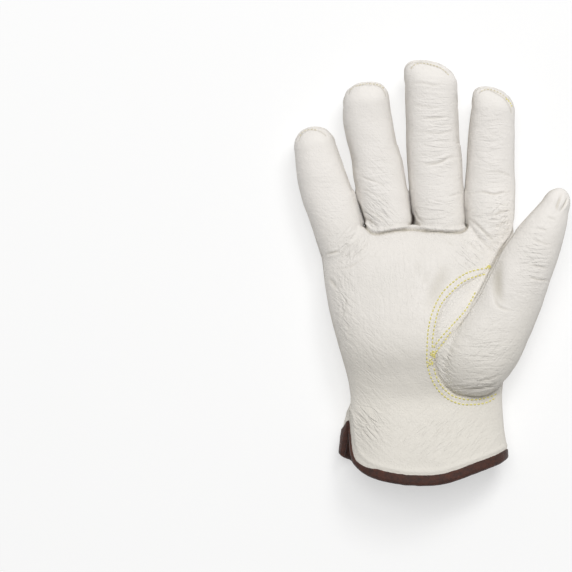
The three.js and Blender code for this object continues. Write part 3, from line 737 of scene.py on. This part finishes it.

# The ruffles that the elastic draws, and the leather puffed up beside the tape
ELASTIC = {
    "y": 55, "reach": 15, "pitch": 5.4, "depth": 0.8, "wander": 3, "wander_size": 14, "seed": 9,
    "pinch": 0.9, "pinch_width": 2.5, "under": (-0.2, 0.5),
}
PUFF = {"height": 0.45, "from_tape": 1.6, "width": 1.3}
EDGE_FADE = (2, 7)  # no relief at the leather's edge, and all of it this far in


def random_folds():
    """The small wrinkles of WRINKLES as folds."""
    draw = random.Random(WRINKLE_DRAW["seed"])
    folds = []
    for region in WRINKLES.values():
        for _ in range(region.count):
            spread = np.array(region.spread) * WRINKLE_DRAW["scatter"]
            middle = np.array([draw.gauss(*pair) for pair in zip(region.middle, spread)])
            angle = math.radians(draw.gauss(region.turn, WRINKLE_DRAW["turn"]))
            half = region.length * draw.uniform(*WRINKLE_DRAW["half"])
            bow = draw.uniform(-WRINKLE_DRAW["bow"], WRINKLE_DRAW["bow"]) * half
            along = np.array([math.cos(angle), math.sin(angle)])
            aside = np.array([-along[1], along[0]])
            line = [middle - along * half, middle + aside * bow, middle + along * half]
            depth = region.depth * draw.uniform(*WRINKLE_DRAW["depth"])
            folds.append(Fold(WRINKLE_DRAW["share"] * depth, draw.uniform(*WRINKLE_DRAW["width"]), line))
    return folds


def line_relief(skin, normals, line, depth, width):
    """A plain groove along a line on the palm side, or a ridge where the depth is below zero."""
    usable = (normals[:, 2] > GROOVE["turned"]) & (skin[:, 2] > GROOVE["above"])
    at, d, place = beside_line(skin, line, GROOVE["reach"] * width, usable)
    height = np.zeros(len(skin))
    height[at] = -depth * bell(d, width) * tapered(place, GROOVE["taper"])
    return height


def drawn_together(points):
    """The points with the walls of each gap between two fingers moved, and the painted shade where they
    touch.
    """
    moved = points.copy()
    deep = np.zeros(len(points))
    x, y, z = points.T
    at = (y > GAP_Y[0]) & (y < GAP_Y[-1])
    touching = falling(z, *GAP_TOUCH["z"]) * window(y, *GAP_TOUCH["y"])
    # how strongly painted shade darkens each gap, fading in low down and at both ends of the y
    dark = falling(z, *PAINTED_GAP_SHADE["z"]) * window(y, *PAINTED_GAP_SHADE["y"])
    for gap in GAPS.values():
        left, right, left_move, right_move = (
            np.interp(y, GAP_Y, gap[name]) for name in ("left", "right", "left_move", "right_move")
        )
        close = touching * ((right + right_move - left - left_move) / 2 + GAP_TOUCH["overlap"])
        left_move, right_move = left_move + close, right_move - close
        beside_left = smoothstep(x, left - GAP_REACH, left) * left_move
        beside_right = (1 - smoothstep(x, right, right + GAP_REACH)) * right_move
        share = np.clip((x - left) / (right - left), 0, 1)
        inside = (1 - share) * left_move + share * right_move
        step = np.where(x < left, beside_left, np.where(x > right, beside_right, inside))
        moved[at, 0] += step[at]
        width = (right + right_move - left - left_move) / 2
        middle = (right + right_move + left + left_move) / 2
        past = np.maximum(np.abs(moved[:, 0] - middle) - width, 0)
        # the gap's painted shade, darkest where its walls touch
        deep = np.maximum(deep, gap["dark"] * bell(past, PAINTED_GAP_SHADE["reach"]) * dark * at)
    return moved, deep


def grain_marks(skin):
    """How wrinkled the leather is along each of four directions, from the regions of WRINKLES."""
    marks = {name: np.full(len(skin), GRAIN_LINES["least"]) for name in GRAIN_TURNS}
    for region in WRINKLES.values():
        across = (skin[:, :2] - region.middle) / region.spread
        strength = GRAIN_LINES["strength"] * region.depth * np.exp(-(across**2).sum(1))
        for name, turn in GRAIN_TURNS.items():
            off = abs((region.turn - turn + 90) % 180 - 90)
            marks[name] += strength * max(0, 1 - off / GRAIN_LINES["spread"])
    return {name: np.clip(mark, 0, 1) for name, mark in marks.items()}


def welt_relief(skin, normals):
    """The rolled welt: a groove along the seam, a ridge just above it and a shallow valley above that."""
    line = np.array(WELT_LINE)
    along = unit(np.gradient(line, axis=0))
    aside = np.stack([-along[:, 1], along[:, 0]], 1) * WELT["inset"]
    groove = line_relief(skin, normals, line, WELT["groove"], WELT["groove_width"])
    ridge = line_relief(skin, normals, line + aside, -WELT["height"], WELT["width"])
    above = line + aside * WELT["valley_inset"]
    return groove + ridge + line_relief(skin, normals, above, WELT["valley"], WELT["valley_width"])


def gather_relief(skin, normals):
    """The ruffles that the elastic draws across the back of the wrist."""
    x, y, _ = skin.T
    from_row = y - ELASTIC["y"]
    under = smoothstep(-normals[:, 2], *ELASTIC["under"])
    wander = noise_at(skin, ELASTIC["wander_size"], ELASTIC["seed"]) * ELASTIC["wander"]
    phase = x / ELASTIC["pitch"] * 2 * np.pi + wander
    pinch = -ELASTIC["pinch"] * bell(from_row, ELASTIC["pinch_width"]) * under
    return ELASTIC["depth"] * bell(from_row, ELASTIC["reach"]) * under * np.cos(phase) + pinch


def swell_relief(points, swells):
    return sum(swell["depth"] * noise_at(points, swell["size"], swell["seed"]) for swell in swells)


def palm_relief(skin, quads, label, normals):
    """All that is pressed into the palm side, with how far each vertex lies from a seam."""
    relief, from_seam = seam_relief(skin, quads, label)
    relief += fold_relief(skin, normals, FOLDS.values())
    relief += fold_relief(skin, normals, random_folds())
    relief += welt_relief(skin, normals)
    for line in TIP_SEAMS:
        relief += line_relief(skin, normals, line, TIP_SEAM["depth"], TIP_SEAM["width"])
    relief += line_relief(skin, normals, CONTACT["line"], CONTACT["depth"], CONTACT["width"])
    return relief, from_seam


def leather_marks(skin, relief, from_seam):
    """How strongly each vertex takes each look of the material, the painted shade and light among them."""
    return {
        # painted shade in the creases, darker in deeper ones
        "painted_crease_and_side_shade": np.clip(-relief / PAINTED_CREASE_SHADE_FULL, 0, 1),
        "grain": GRAIN["least"] + GRAIN["at_seam"] * bell(from_seam, GRAIN["reach"]),
        **grain_marks(skin),
        # painted light on the fingers
        "painted_finger_light": smoothstep(skin[:, 1], PAINTED_FINGER_LIGHT["from"], PAINTED_FINGER_LIGHT["full"]),
        # painted shade towards the cuff
        "painted_cuff_shade": PAINTED_CUFF_SHADE["share"] * falling(skin[:, 1], PAINTED_CUFF_SHADE["from"], PAINTED_CUFF_SHADE["full"]),
    }


def shaped_skin(skin, normals, relief, from_edge):
    """The skin with all its relief and its gaps drawn together, and the painted shade deep in its gaps."""
    relief = relief + (gather_relief(skin, normals) + swell_relief(skin, SWELLS))
    puff = PUFF["height"] * bell(from_edge - TAPE["width"] - PUFF["from_tape"], PUFF["width"])
    relief = (relief + puff) * smoothstep(from_edge, *EDGE_FADE)
    shaped = skin + normals * relief[:, None]
    shaped[:, 2] = np.maximum(shaped[:, 2], LOWEST["leather"])
    return drawn_together(shaped)


def edge_distance(skin, quads):
    """How far each vertex lies from the leather's cut edge at the hem and slit."""
    rim = skin[rim_of(quads)]
    tree = tree_of(np.concatenate([rim.mean(1), rim[:, 0]]))
    near = skin[:, 1] < CUFF_END
    distance = np.full(len(skin), FAR)
    distance[near] = [tree.find(point)[2] for point in skin[near]]
    return distance


# The leather's panels and the tape

def write_mesh(name, points, faces, normals=None):
    """A mesh object in metres, in the frame."""
    mesh = bpy.data.meshes.new(name)
    mesh.from_pydata(((points - ORIGIN) * MM).tolist(), [], faces)
    mesh.polygons.foreach_set("use_smooth", np.ones(len(mesh.polygons), bool))
    if normals is not None:
        mesh.normals_split_custom_set_from_vertices(normals.tolist())
    piece = bpy.data.objects.new(name, mesh)
    bpy.context.collection.objects.link(piece)
    return piece


def closed_wall(faces, rim, inner, partner):
    """Faces of a wall: the outer skin, the inner one, and the rim from each outer point to its partner."""
    directed = np.stack([faces, np.roll(faces, -1, 1)], 2).reshape(-1, 2)
    open_edges = {tuple(edge) for edge in rim.tolist()}
    walls = [
        (b, a, partner[a], partner[b]) for a, b in directed.tolist()
        if (min(a, b), max(a, b)) in open_edges
    ]
    return faces.tolist() + inner.tolist() + walls


def add_mark(piece, name, outer, inner):
    attribute = piece.data.attributes.new(name, "FLOAT", "POINT")
    attribute.data.foreach_set("value", np.concatenate([outer, inner]))


def leather_piece(name, faces, skin, normals, marks, material):
    """A panel as a closed wall of its own, with its marks as attributes for the material."""
    used, faces = own_points(faces)
    outer, n = skin[used], normals[used]
    rim = rim_of(faces)
    held = np.zeros(len(used), bool)
    held[rim.ravel()] = True
    inner, inner_faces, partner = thinned(outer - n * WALL, faces[:, ::-1], held)
    everything = closed_wall(faces, rim, inner_faces + len(used), (partner + len(used)).tolist())
    both_normals = np.concatenate([n, vertex_normals(inner, inner_faces)])
    piece = write_mesh("leather_" + name, np.concatenate([outer, inner]), everything, both_normals)
    for mark, values in marks.items():
        add_mark(piece, mark, values[used], np.zeros(len(inner)))
    add_mark(piece, "inside", np.zeros(len(outer)), np.ones(len(inner)))
    piece.data.materials.append(material)
    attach(piece, "root")
    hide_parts(name)


# Where the tape's width changes beside the slit: it turns down out of sight along the palm's edge,
# shows more of itself on the flap below, and narrows at the slit's end
SLIT_SIDE = (-25, -32)
TAPE_TURNED = {"y": (9, 19), "z": (19, 23), "less": 2.9}
TAPE_FLAP = {"y": (12, 18), "z": (20, 16), "more": 5.0}
TAPE_END = {"y": (30, 42), "share": 0.72}


def tape_width(points):
    x, y, z = points.T
    beside = falling(x, *SLIT_SIDE)
    turned = smoothstep(y, *TAPE_TURNED["y"]) * smoothstep(z, *TAPE_TURNED["z"]) * beside
    flap = smoothstep(y, *TAPE_FLAP["y"]) * falling(z, *TAPE_FLAP["z"]) * beside
    end = smoothstep(y, *TAPE_END["y"]) * beside
    width = TAPE["width"] - TAPE_TURNED["less"] * turned + TAPE_FLAP["more"] * flap
    return width * (1 - TAPE_END["share"] * end)


def tape_piece(skin, quads, from_edge, normals, material):
    """The tape folded over the hem and round the slit: a strip of the skin with a rounded fold."""
    width = tape_width(skin)
    used, faces = own_points(quads[(from_edge < width)[quads].all(1)])
    points, n, d, width = skin[used], normals[used], from_edge[used], width[used]
    edges, _ = edges_of(faces)
    rim = rim_of(faces)
    number = np.bincount(rim.ravel(), minlength=len(points))
    points = smoothed(points, rim, SMOOTHING["tape_rim"], moving=(number == 2) & (d > TAPE["roll"]))
    n = unit(smoothed(n, edges, SMOOTHING["tape_normals"]))
    middle = WALL / 2 + TAPE["thickness"]
    roll = np.sqrt(1 - (1 - np.clip(d / TAPE["roll"], 0, 1)) ** 2)
    upper = smoothstep(width - d, 0, TAPE["edge_reach"])
    half = middle * roll - (TAPE["thickness"] - TAPE["edge"]) * (1 - upper)
    half = np.maximum(half + swell_relief(points, TAPE_SWELLS) * roll * upper, TAPE["thinnest"])
    core = points - n * (WALL / 2)
    outer, inner = core + n * half[:, None], core - n * half[:, None]
    outer[:, 2] = np.maximum(outer[:, 2], LOWEST["tape"])
    inner[:, 2] = np.maximum(inner[:, 2], LOWEST["tape_inside"])
    everything = closed_wall(faces, rim, faces[:, ::-1] + len(points), range(len(points), 2 * len(points)))
    piece = write_mesh("hem_binding", np.concatenate([outer, inner]), everything)
    finer = piece.modifiers.new("finer", "SUBSURF")
    finer.levels = finer.render_levels = 1
    piece.data.materials.append(material)
    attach(piece, "root")
    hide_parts("cuff_binding")


# Stitches

# Rows of stitches along lines of (x, y) seen from above, which run through their points in curves or
# straight from one to the next. under means on the back.
Row = namedtuple("Row", "thread pitch line smooth under", defaults=(True, False))
STITCH_ROWS = {
    "thumb outer row": Row("yellow", 2.4, [
        (40, 133.2), (33.5, 132), (27, 130), (20.5, 125.8), (14, 120), (9.5, 113.4), (6.2, 105.6),
        (4.2, 97.2), (3.5, 88.8), (3.3, 81.6), (3.6, 75.7), (5.6, 68.6), (9.5, 61.4), (15.3, 55.6),
        (22.5, 52.3), (30.3, 51.6), (38.8, 52.6), (44.6, 55.6)]),
    "thumb inner row, upper": Row("yellow", 2.4, [
        (38.8, 129.4), (32.2, 128), (24.4, 124.5), (17.3, 118), (12.7, 112.8), (10.1, 107.6), (8.2, 100.4),
        (6.8, 92), (6.5, 85.4)]),
    "thumb inner row, lower": Row("yellow", 2.4, [
        (7.5, 73.8), (9.5, 67.2), (14, 60.7), (19.2, 56.8), (25.7, 54.9), (33.5, 54.6), (41.3, 56.2),
        (45.9, 58.2)]),
    "gusset long row": Row("yellow", 2.3, [
        (7, 85.4), (8.2, 87.2), (11, 91), (15.1, 95.6), (17.1, 97.7), (21.4, 102.5), (25.6, 107),
        (29.6, 113.2), (32.6, 119)]),
    "gusset short row": Row("yellow", 2.1, [
        (7.3, 81), (9.1, 84), (12.2, 87.6), (15.1, 91.8), (17.6, 95.4)]),
    "tack at the index side": Row("yellow", 1.1, [
        (39.2, 133.4), (41.8, 134.6), (39.4, 134), (42, 133.4), (40.4, 135), (40.8, 132.4)], smooth=False),
    "tack below the gusset, upper": Row("yellow", 1.2, [
        (5.2, 83.2), (8.4, 80.4), (5, 82), (8.2, 79.4), (6.2, 84), (9, 82.6)], smooth=False),
    "tack below the gusset, lower": Row("yellow", 1.2, [
        (4, 77), (7.2, 75.6), (4.2, 75.6), (7.4, 76.8), (4.6, 78.4), (6.8, 79.2)], smooth=False),
    "ring tip": Row("cream", 2.0, [
        (-41.8, 239.4), (-39.2, 241.6), (-34.8, 243), (-28.8, 243.3), (-24, 242.4), (-21.8, 240.4)]),
    "middle tip": Row("cream", 2.0, [
        (-5.6, 252.2), (-3, 254.8), (3, 255.4), (9, 254), (13.8, 251.4), (17, 248)]),
    "index tip": Row("cream", 2.0, [(36, 238.4), (40.2, 240.2), (45, 239), (49.8, 236.2), (53.2, 233)]),
    "index tip end": Row("yellow", 1.5, [(51, 234.6), (53.6, 232), (54.8, 229.4)]),
    "little tip": Row("cream", 2.0, [(-72.2, 211.8), (-70, 214.8), (-66, 216.2), (-61.8, 215.8)]),
}
ZIGZAG = {"left": -37.0, "right": 45.0, "half_pitch": 5.4, "half_height": 4.2, "stitch": 2.3}
STITCH = {
    "length": 0.86, "longest": 3, "radius": 0.42, "slender": 0.88, "sides": 6, "rings": 5,
    "lift": 0.24, "sink": 0.55,
}
SIGHT = {"above": 120.0, "below": -50.0}  # where the rays that find the skin start


def zigzag_line():
    """The corners of the zigzag over the elastic."""
    count = int((ZIGZAG["right"] - ZIGZAG["left"]) / ZIGZAG["half_pitch"]) + 1
    return [
        (ZIGZAG["left"] + i * ZIGZAG["half_pitch"], ELASTIC["y"] + ZIGZAG["half_height"] * (-1) ** i)
        for i in range(count)
    ]


def walk(row, steps=24):
    """Evenly spaced places along a row's line seen from above."""
    line = np.array(row.line, float)
    share = np.linspace(0, 1, (len(line) - 1) * steps + 1)
    corners = np.linspace(0, 1, len(line))
    path = np.stack([
        between(line[:, k], share) if row.smooth else np.interp(share, corners, line[:, k]) for k in (0, 1)
    ], 1)
    run = np.concatenate([[0], np.cumsum(np.hypot(*np.diff(path, axis=0).T))])
    at = np.linspace(0, run[-1], max(2, round(run[-1] / row.pitch) + 1))
    return np.stack([np.interp(at, run, path[:, k]) for k in (0, 1)], 1)


def stitch_shape(pitch):
    """One stitch lying along x, its ends diving into the leather."""
    length = pitch * STITCH["length"]
    place = np.linspace(-1, 1, STITCH["rings"])
    girth = STITCH["radius"] * np.sqrt(1 - (place * STITCH["slender"]) ** 2)
    angle = np.arange(STITCH["sides"]) / STITCH["sides"] * 2 * np.pi
    rings = np.stack([
        np.broadcast_to((place * length / 2)[:, None], (len(place), len(angle))),
        girth[:, None] * np.cos(angle),
        girth[:, None] * np.sin(angle) + (STITCH["lift"] - STITCH["sink"] * place**2)[:, None],
    ], 2)
    return loft(rings, rings[0].mean(0), rings[-1].mean(0))


def stitch_forms(row, tree):
    """The stitches of a row, laid on the skin where rays from above or below meet it."""
    start, down = (SIGHT["below"], 1.0) if row.under else (SIGHT["above"], -1.0)
    hits = [tree.ray_cast((x, y, start), (0, 0, down)) for x, y in walk(row)]
    points, faces = stitch_shape(row.pitch)
    for a, b in zip(hits, hits[1:]):
        if a[0] is None or b[0] is None or (a[0] - b[0]).length > STITCH["longest"] * row.pitch:
            continue
        along = (b[0] - a[0]).normalized()
        across = (a[1] + b[1]).normalized().cross(along).normalized()
        basis = np.array([along, across, along.cross(across)])
        yield points @ basis + np.array((a[0] + b[0]) / 2), faces


def stitches(name, rows, tree, material):
    """Rows of stitches as one piece."""
    piece = write_mesh(name, *joined(form for row in rows for form in stitch_forms(row, tree)))
    piece.data.materials.append(material)
    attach(piece, "root")


# Materials

# The noise that the looks are made of, with scale in features to a metre. Where it rises from low to
# high it brings in a second tone, at most that share of it.
Noise = namedtuple("Noise", "scale detail roughness low high share", defaults=(0.0, 1.0, 1.0))
NOISES = {
    "cloud": Noise(32.0, 4.0, 0.55, 0.38, 0.66, 0.55),
    "fine": Noise(700.0, 4.0, 0.6, 0.45, 0.75, 0.4),
    "pile": Noise(900.0, 5.0, 0.7),
    "mottle": Noise(380.0, 5.0, 0.7, 0.35, 0.72, 1.0),
    "broad": Noise(70.0, 3.0, 0.5, 0.4, 0.7, 0.5),
    "strands": Noise(2600.0, 2.0, 0.5, 0.3, 0.75, 0.7),
}
CELLS = {"pores": 1250.0, "crinkle": 560.0, "weave": 1400.0}
CRINKLE_EDGE = 0.2  # how far in from its edge a cell of the crinkle is at its full height

# How the crinkle's cells are moved about, and the stretched noise of the long creases
WARP = {"scale": 240.0, "detail": 2.0, "amount": 0.0022}
WRINKLE_NOISE = {
    "stretch": (0.2, 1.0, 0.5), "scale": 330.0, "detail": 2.5, "distortion": 0.4, "edge": 0.13,
}

# How high each relief is, in metres
RELIEF = {
    "crinkle": 0.00022, "wrinkle": 0.00042, "pores": 0.00005, "fine": 0.00006, "pile": 0.0012,
    "mottle": 0.0003, "weave": 0.00012, "strands": 0.0001,
}


class Graph:
    """A new material's nodes, with short ways to add to them."""

    def __init__(self, name):
        self.material = bpy.data.materials.new(name)
        self.material.use_nodes = True
        self.tree = self.material.node_tree

    def fill(self, socket, value):
        """Give a socket a number or a colour, or link another node's output to it."""
        if isinstance(value, bpy.types.NodeSocket):
            self.tree.links.new(value, socket)
        else:
            socket.default_value = value

    def add(self, kind, inputs, output=0, **settings):
        """An output of a new node. Its inputs are given by name, or by number."""
        node = self.tree.nodes.new("ShaderNode" + kind)
        for name, value in settings.items():
            setattr(node, name, value)
        for name, value in inputs.items():
            self.fill(node.inputs[name], value)
        return node.outputs[output]

    def place(self):
        return self.add("TexCoord", {}, "Object")

    def mark(self, name):
        return self.add("Attribute", {}, "Fac", attribute_name=name)

    def noise(self, place, name):
        look = NOISES[name]
        inputs = {"Vector": place, "Scale": look.scale, "Detail": look.detail, "Roughness": look.roughness}
        return self.add("TexNoise", inputs)

    def cells(self, place, name, **settings):
        return self.add("TexVoronoi", {"Vector": place, "Scale": CELLS[name]}, **settings)

    def maths(self, operation, *values):
        return self.add("Math", dict(enumerate(values)), operation=operation)

    def ramp(self, value, low, high):
        """A value stretched so that low gives 0 and high gives 1."""
        return self.add("MapRange", {"Value": value, "From Min": low, "From Max": high})

    def mix(self, factor, first, second, share=1.0):
        """A mix of two colours, with at most that share of the second."""
        if share < 1:
            factor = self.maths("MULTIPLY", factor, share)
        return self.add("Mix", {0: factor, 6: first, 7: second}, 2, data_type="RGBA")

    def toned(self, noise, name, first, second):
        """A tone with a second one brought in by a noise, as its row of NOISES says."""
        look = NOISES[name]
        return self.mix(self.ramp(noise, look.low, look.high), first, second, look.share)

    def bump(self, height, name, below=None):
        """One of RELIEF, on top of the relief below it."""
        inputs = {"Strength": 1.0, "Distance": RELIEF[name], "Height": height}
        if below:
            inputs["Normal"] = below
        return self.add("Bump", inputs)

    def finished(self, values):
        """The material, with these values on its shader."""
        for name, value in values.items():
            self.fill(self.tree.nodes["Principled BSDF"].inputs[name], value)
        return self.material


def warped(graph, place):
    """A place moved about by noise, so that cells lose their straight edges."""
    inputs = {"Vector": place, "Scale": WARP["scale"], "Detail": WARP["detail"]}
    wander = graph.add("TexNoise", inputs, "Color")
    inputs = {0: wander, 1: (WARP["amount"],) * 3, 2: place}
    return graph.add("VectorMath", inputs, operation="MULTIPLY_ADD")


def wrinkle_height(graph, place, turn):
    """Long thin creases that run at an angle: where a stretched noise passes its middle value."""
    turned = graph.add("Mapping", {"Vector": place, "Rotation": (0, 0, -math.radians(turn))})
    stretched = graph.add("Mapping", {"Vector": turned, "Scale": WRINKLE_NOISE["stretch"]})
    waves = graph.add("TexNoise", {
        "Vector": stretched,
        "Scale": WRINKLE_NOISE["scale"],
        "Detail": WRINKLE_NOISE["detail"],
        "Distortion": WRINKLE_NOISE["distortion"],
    })
    from_middle = graph.maths("ABSOLUTE", graph.maths("SUBTRACT", waves, 0.5))
    return graph.ramp(from_middle, 0.0, WRINKLE_NOISE["edge"])


LEATHER = {"light": (0.805, 0.77, 0.725, 1), "dull": (0.735, 0.705, 0.655, 1)}

# The colour that each mark gives the leather and how much of it, in the order that they are laid on: painted
# light on the fingers, painted shade towards the cuff, in the creases and at the sides, and deep in the gaps
# and along the thumb's edge, then the lining's own colour inside
Tint = namedtuple("Tint", "colour share")
TINTS_AND_PAINTED_LIGHT = {
    "painted_finger_light": Tint((0.85, 0.815, 0.775, 1), 0.7),
    "painted_cuff_shade": Tint((0.735, 0.70, 0.625, 1), 1.0),
    "painted_crease_and_side_shade": Tint((0.52, 0.48, 0.40, 1), 0.8),
    # a near-black painted shade deep in the gaps between the fingers and along the thumb's edge
    "deep": Tint((0.045, 0.03, 0.022, 1), 1.0),
    "inside": Tint((0.80, 0.75, 0.65, 1), 1.0),
}


def leather_material():
    graph = Graph("leather")
    place = graph.place()
    cloud, fine, pile = (graph.noise(place, name) for name in ("cloud", "fine", "pile"))
    pores = graph.cells(place, "pores")
    crinkle = graph.cells(warped(graph, place), "crinkle", feature="DISTANCE_TO_EDGE")

    tone = graph.toned(cloud, "cloud", LEATHER["light"], LEATHER["dull"])
    tone = graph.toned(fine, "fine", tone, LEATHER["dull"])
    # the marks lay painted light and shade on the leather, and the lining's own colour inside
    for name, tint in TINTS_AND_PAINTED_LIGHT.items():
        tone = graph.mix(graph.mark(name), tone, tint.colour, tint.share)

    crinkle = graph.maths("MULTIPLY", graph.ramp(crinkle, 0.0, CRINKLE_EDGE), graph.mark("grain"))
    relief = graph.bump(crinkle, "crinkle")
    for name, turn in GRAIN_TURNS.items():
        wrinkles = graph.maths("MULTIPLY", wrinkle_height(graph, place, turn), graph.mark(name))
        relief = graph.bump(wrinkles, "wrinkle", relief)
    relief = graph.bump(pores, "pores", relief)
    relief = graph.bump(fine, "fine", relief)
    relief = graph.bump(graph.maths("MULTIPLY", pile, graph.mark("inside")), "pile", relief)
    return graph.finished({
        "Base Color": tone,
        "Roughness": graph.add("MapRange", {"Value": fine, "To Min": 0.46, "To Max": 0.66}),
        "Normal": relief,
        "Specular IOR Level": 0.42,
        "Sheen Weight": 0.05,
    })


TAPE_LOOK = {"dark": (0.030, 0.010, 0.006, 1), "light": (0.100, 0.026, 0.011, 1)}


def binding_material():
    graph = Graph("binding")
    place = graph.place()
    mottle, broad = graph.noise(place, "mottle"), graph.noise(place, "broad")
    tone = graph.toned(mottle, "mottle", TAPE_LOOK["dark"], TAPE_LOOK["light"])
    tone = graph.toned(broad, "broad", tone, TAPE_LOOK["dark"])
    relief = graph.bump(graph.cells(place, "weave"), "weave", graph.bump(mottle, "mottle"))
    return graph.finished({"Base Color": tone, "Normal": relief, "Roughness": 0.72, "Sheen Weight": 0.12})


THREADS = {"yellow": (0.84, 0.76, 0.24, 1), "cream": (0.76, 0.70, 0.54, 1)}
THREAD_SHADE = 0.74  # how much of its colour the thread keeps between its strands


def thread_material(name):
    graph = Graph("thread_" + name)
    strands = graph.noise(graph.place(), "strands")
    shade = tuple(channel * THREAD_SHADE for channel in THREADS[name][:3]) + (1,)
    tone = graph.toned(strands, "strands", THREADS[name], shade)
    relief = graph.bump(strands, "strands")
    return graph.finished({"Base Color": tone, "Normal": relief, "Roughness": 0.5})


# The studio

WHITE = (1, 1, 1, 1)
FLOOR_COLOUR = (0.46, 0.46, 0.458, 1)
FLOOR_GLOW = 0.52  # the glove lies on a light table
LIGHTS = [
    {"name": "overhead", "place": (-0.2, 0.9, 3.3), "size": 1.6, "power": 53},
    {"name": "key", "place": (0.6, 1.3, 1.9), "size": 0.8, "power": 22},
]
SKY = 0.24


def make_floor():
    bpy.ops.mesh.primitive_plane_add(size=30)
    floor = bpy.context.object
    floor.name = "floor"
    floor.data.materials.append(Graph("floor").finished({
        "Base Color": FLOOR_COLOUR,
        "Emission Color": WHITE,
        "Emission Strength": FLOOR_GLOW,
        "Roughness": 0.9,
    }))


def make_studio():
    bpy.context.scene.view_settings.view_transform = "Standard"
    make_floor()
    world = bpy.data.worlds.new("studio")
    bpy.context.scene.world = world
    world.use_nodes = True
    sky = world.node_tree.nodes["Background"]
    sky.inputs["Color"].default_value = WHITE
    sky.inputs["Strength"].default_value = SKY
    for light in LIGHTS:
        data = bpy.data.lights.new(light["name"], "AREA")
        data.size, data.energy = light["size"], light["power"]
        lamp = bpy.data.objects.new(light["name"], data)
        lamp.location = light["place"]
        lamp.rotation_euler = (-Vector(light["place"])).to_track_quat("-Z", "Y").to_euler()
        bpy.context.collection.objects.link(lamp)


# The camera looks straight down. Its places and sizes are in metres.
IMAGE_CENTRE = (-0.08806, -0.00672)
IMAGE_WIDTH = 0.3432  # what the square image shows at the height of the glove's middle
CAMERA_HEIGHT = 2.5
GLOVE_MIDDLE = 0.02


def make_camera():
    data = bpy.data.cameras.new("camera")
    data.sensor_width = 36
    data.lens = data.sensor_width * (CAMERA_HEIGHT - GLOVE_MIDDLE) / IMAGE_WIDTH
    data.clip_end = 50
    camera = bpy.data.objects.new("camera", data)
    camera.location = (*IMAGE_CENTRE, CAMERA_HEIGHT)
    bpy.context.collection.objects.link(camera)
    bpy.context.scene.camera = camera


# The glove

def make_glove():
    skin, quads = glove_skin()
    quads, label = labelled(skin, quads)
    label = majority(label, quads)
    label, stray = largest_parts(quads, label)
    quads, label = quads[~stray], label[~stray]
    skin = straightened(skin, quads, label)
    normals = vertex_normals(skin, quads)
    from_edge = edge_distance(skin, quads)
    relief, from_seam = palm_relief(skin, quads, label, normals)
    marks = leather_marks(skin, relief, from_seam)

    shaped, deep = shaped_skin(skin, normals, relief, from_edge)
    shaped_normals = vertex_normals(shaped, quads)
    # painted shade along the line where the thumb lies on the palm, joined with the painted shade in the
    # gaps
    painted_thumb_shade = -line_relief(shaped, shaped_normals, CONTACT["line"], CONTACT["dark"], CONTACT["width"])
    marks["deep"] = np.maximum(deep, painted_thumb_shade)
    # painted shade where the leather turns down at the sides, laid into the painted crease shade
    side_shade_mask = falling(np.abs(shaped_normals[:, 2]), PAINTED_SIDE_SHADE["from"], 0)
    marks["painted_crease_and_side_shade"] = np.clip(marks["painted_crease_and_side_shade"] + PAINTED_SIDE_SHADE["share"] * side_shade_mask, 0, 1)

    leather = leather_material()
    kept = (from_edge > LEATHER_STOP)[quads].any(1)
    for index, name in enumerate(PANELS):
        leather_piece(name, quads[kept & (label == index)], shaped, shaped_normals, marks, leather)
    tape_piece(skin, quads, from_edge, normals, binding_material())
    return BVHTree.FromPolygons(shaped.tolist(), quads.tolist())


def make_stitches(tree):
    materials = {name: thread_material(name) for name in THREADS}
    for name, material in materials.items():
        rows = [row for row in STITCH_ROWS.values() if row.thread == name]
        stitches("stitches_" + name, rows, tree, material)
    zigzag = Row("yellow", ZIGZAG["stitch"], zigzag_line(), smooth=False, under=True)
    stitches("stitches_elastic", [zigzag], tree, materials[zigzag.thread])


make_studio()
make_camera()
make_stitches(make_glove())
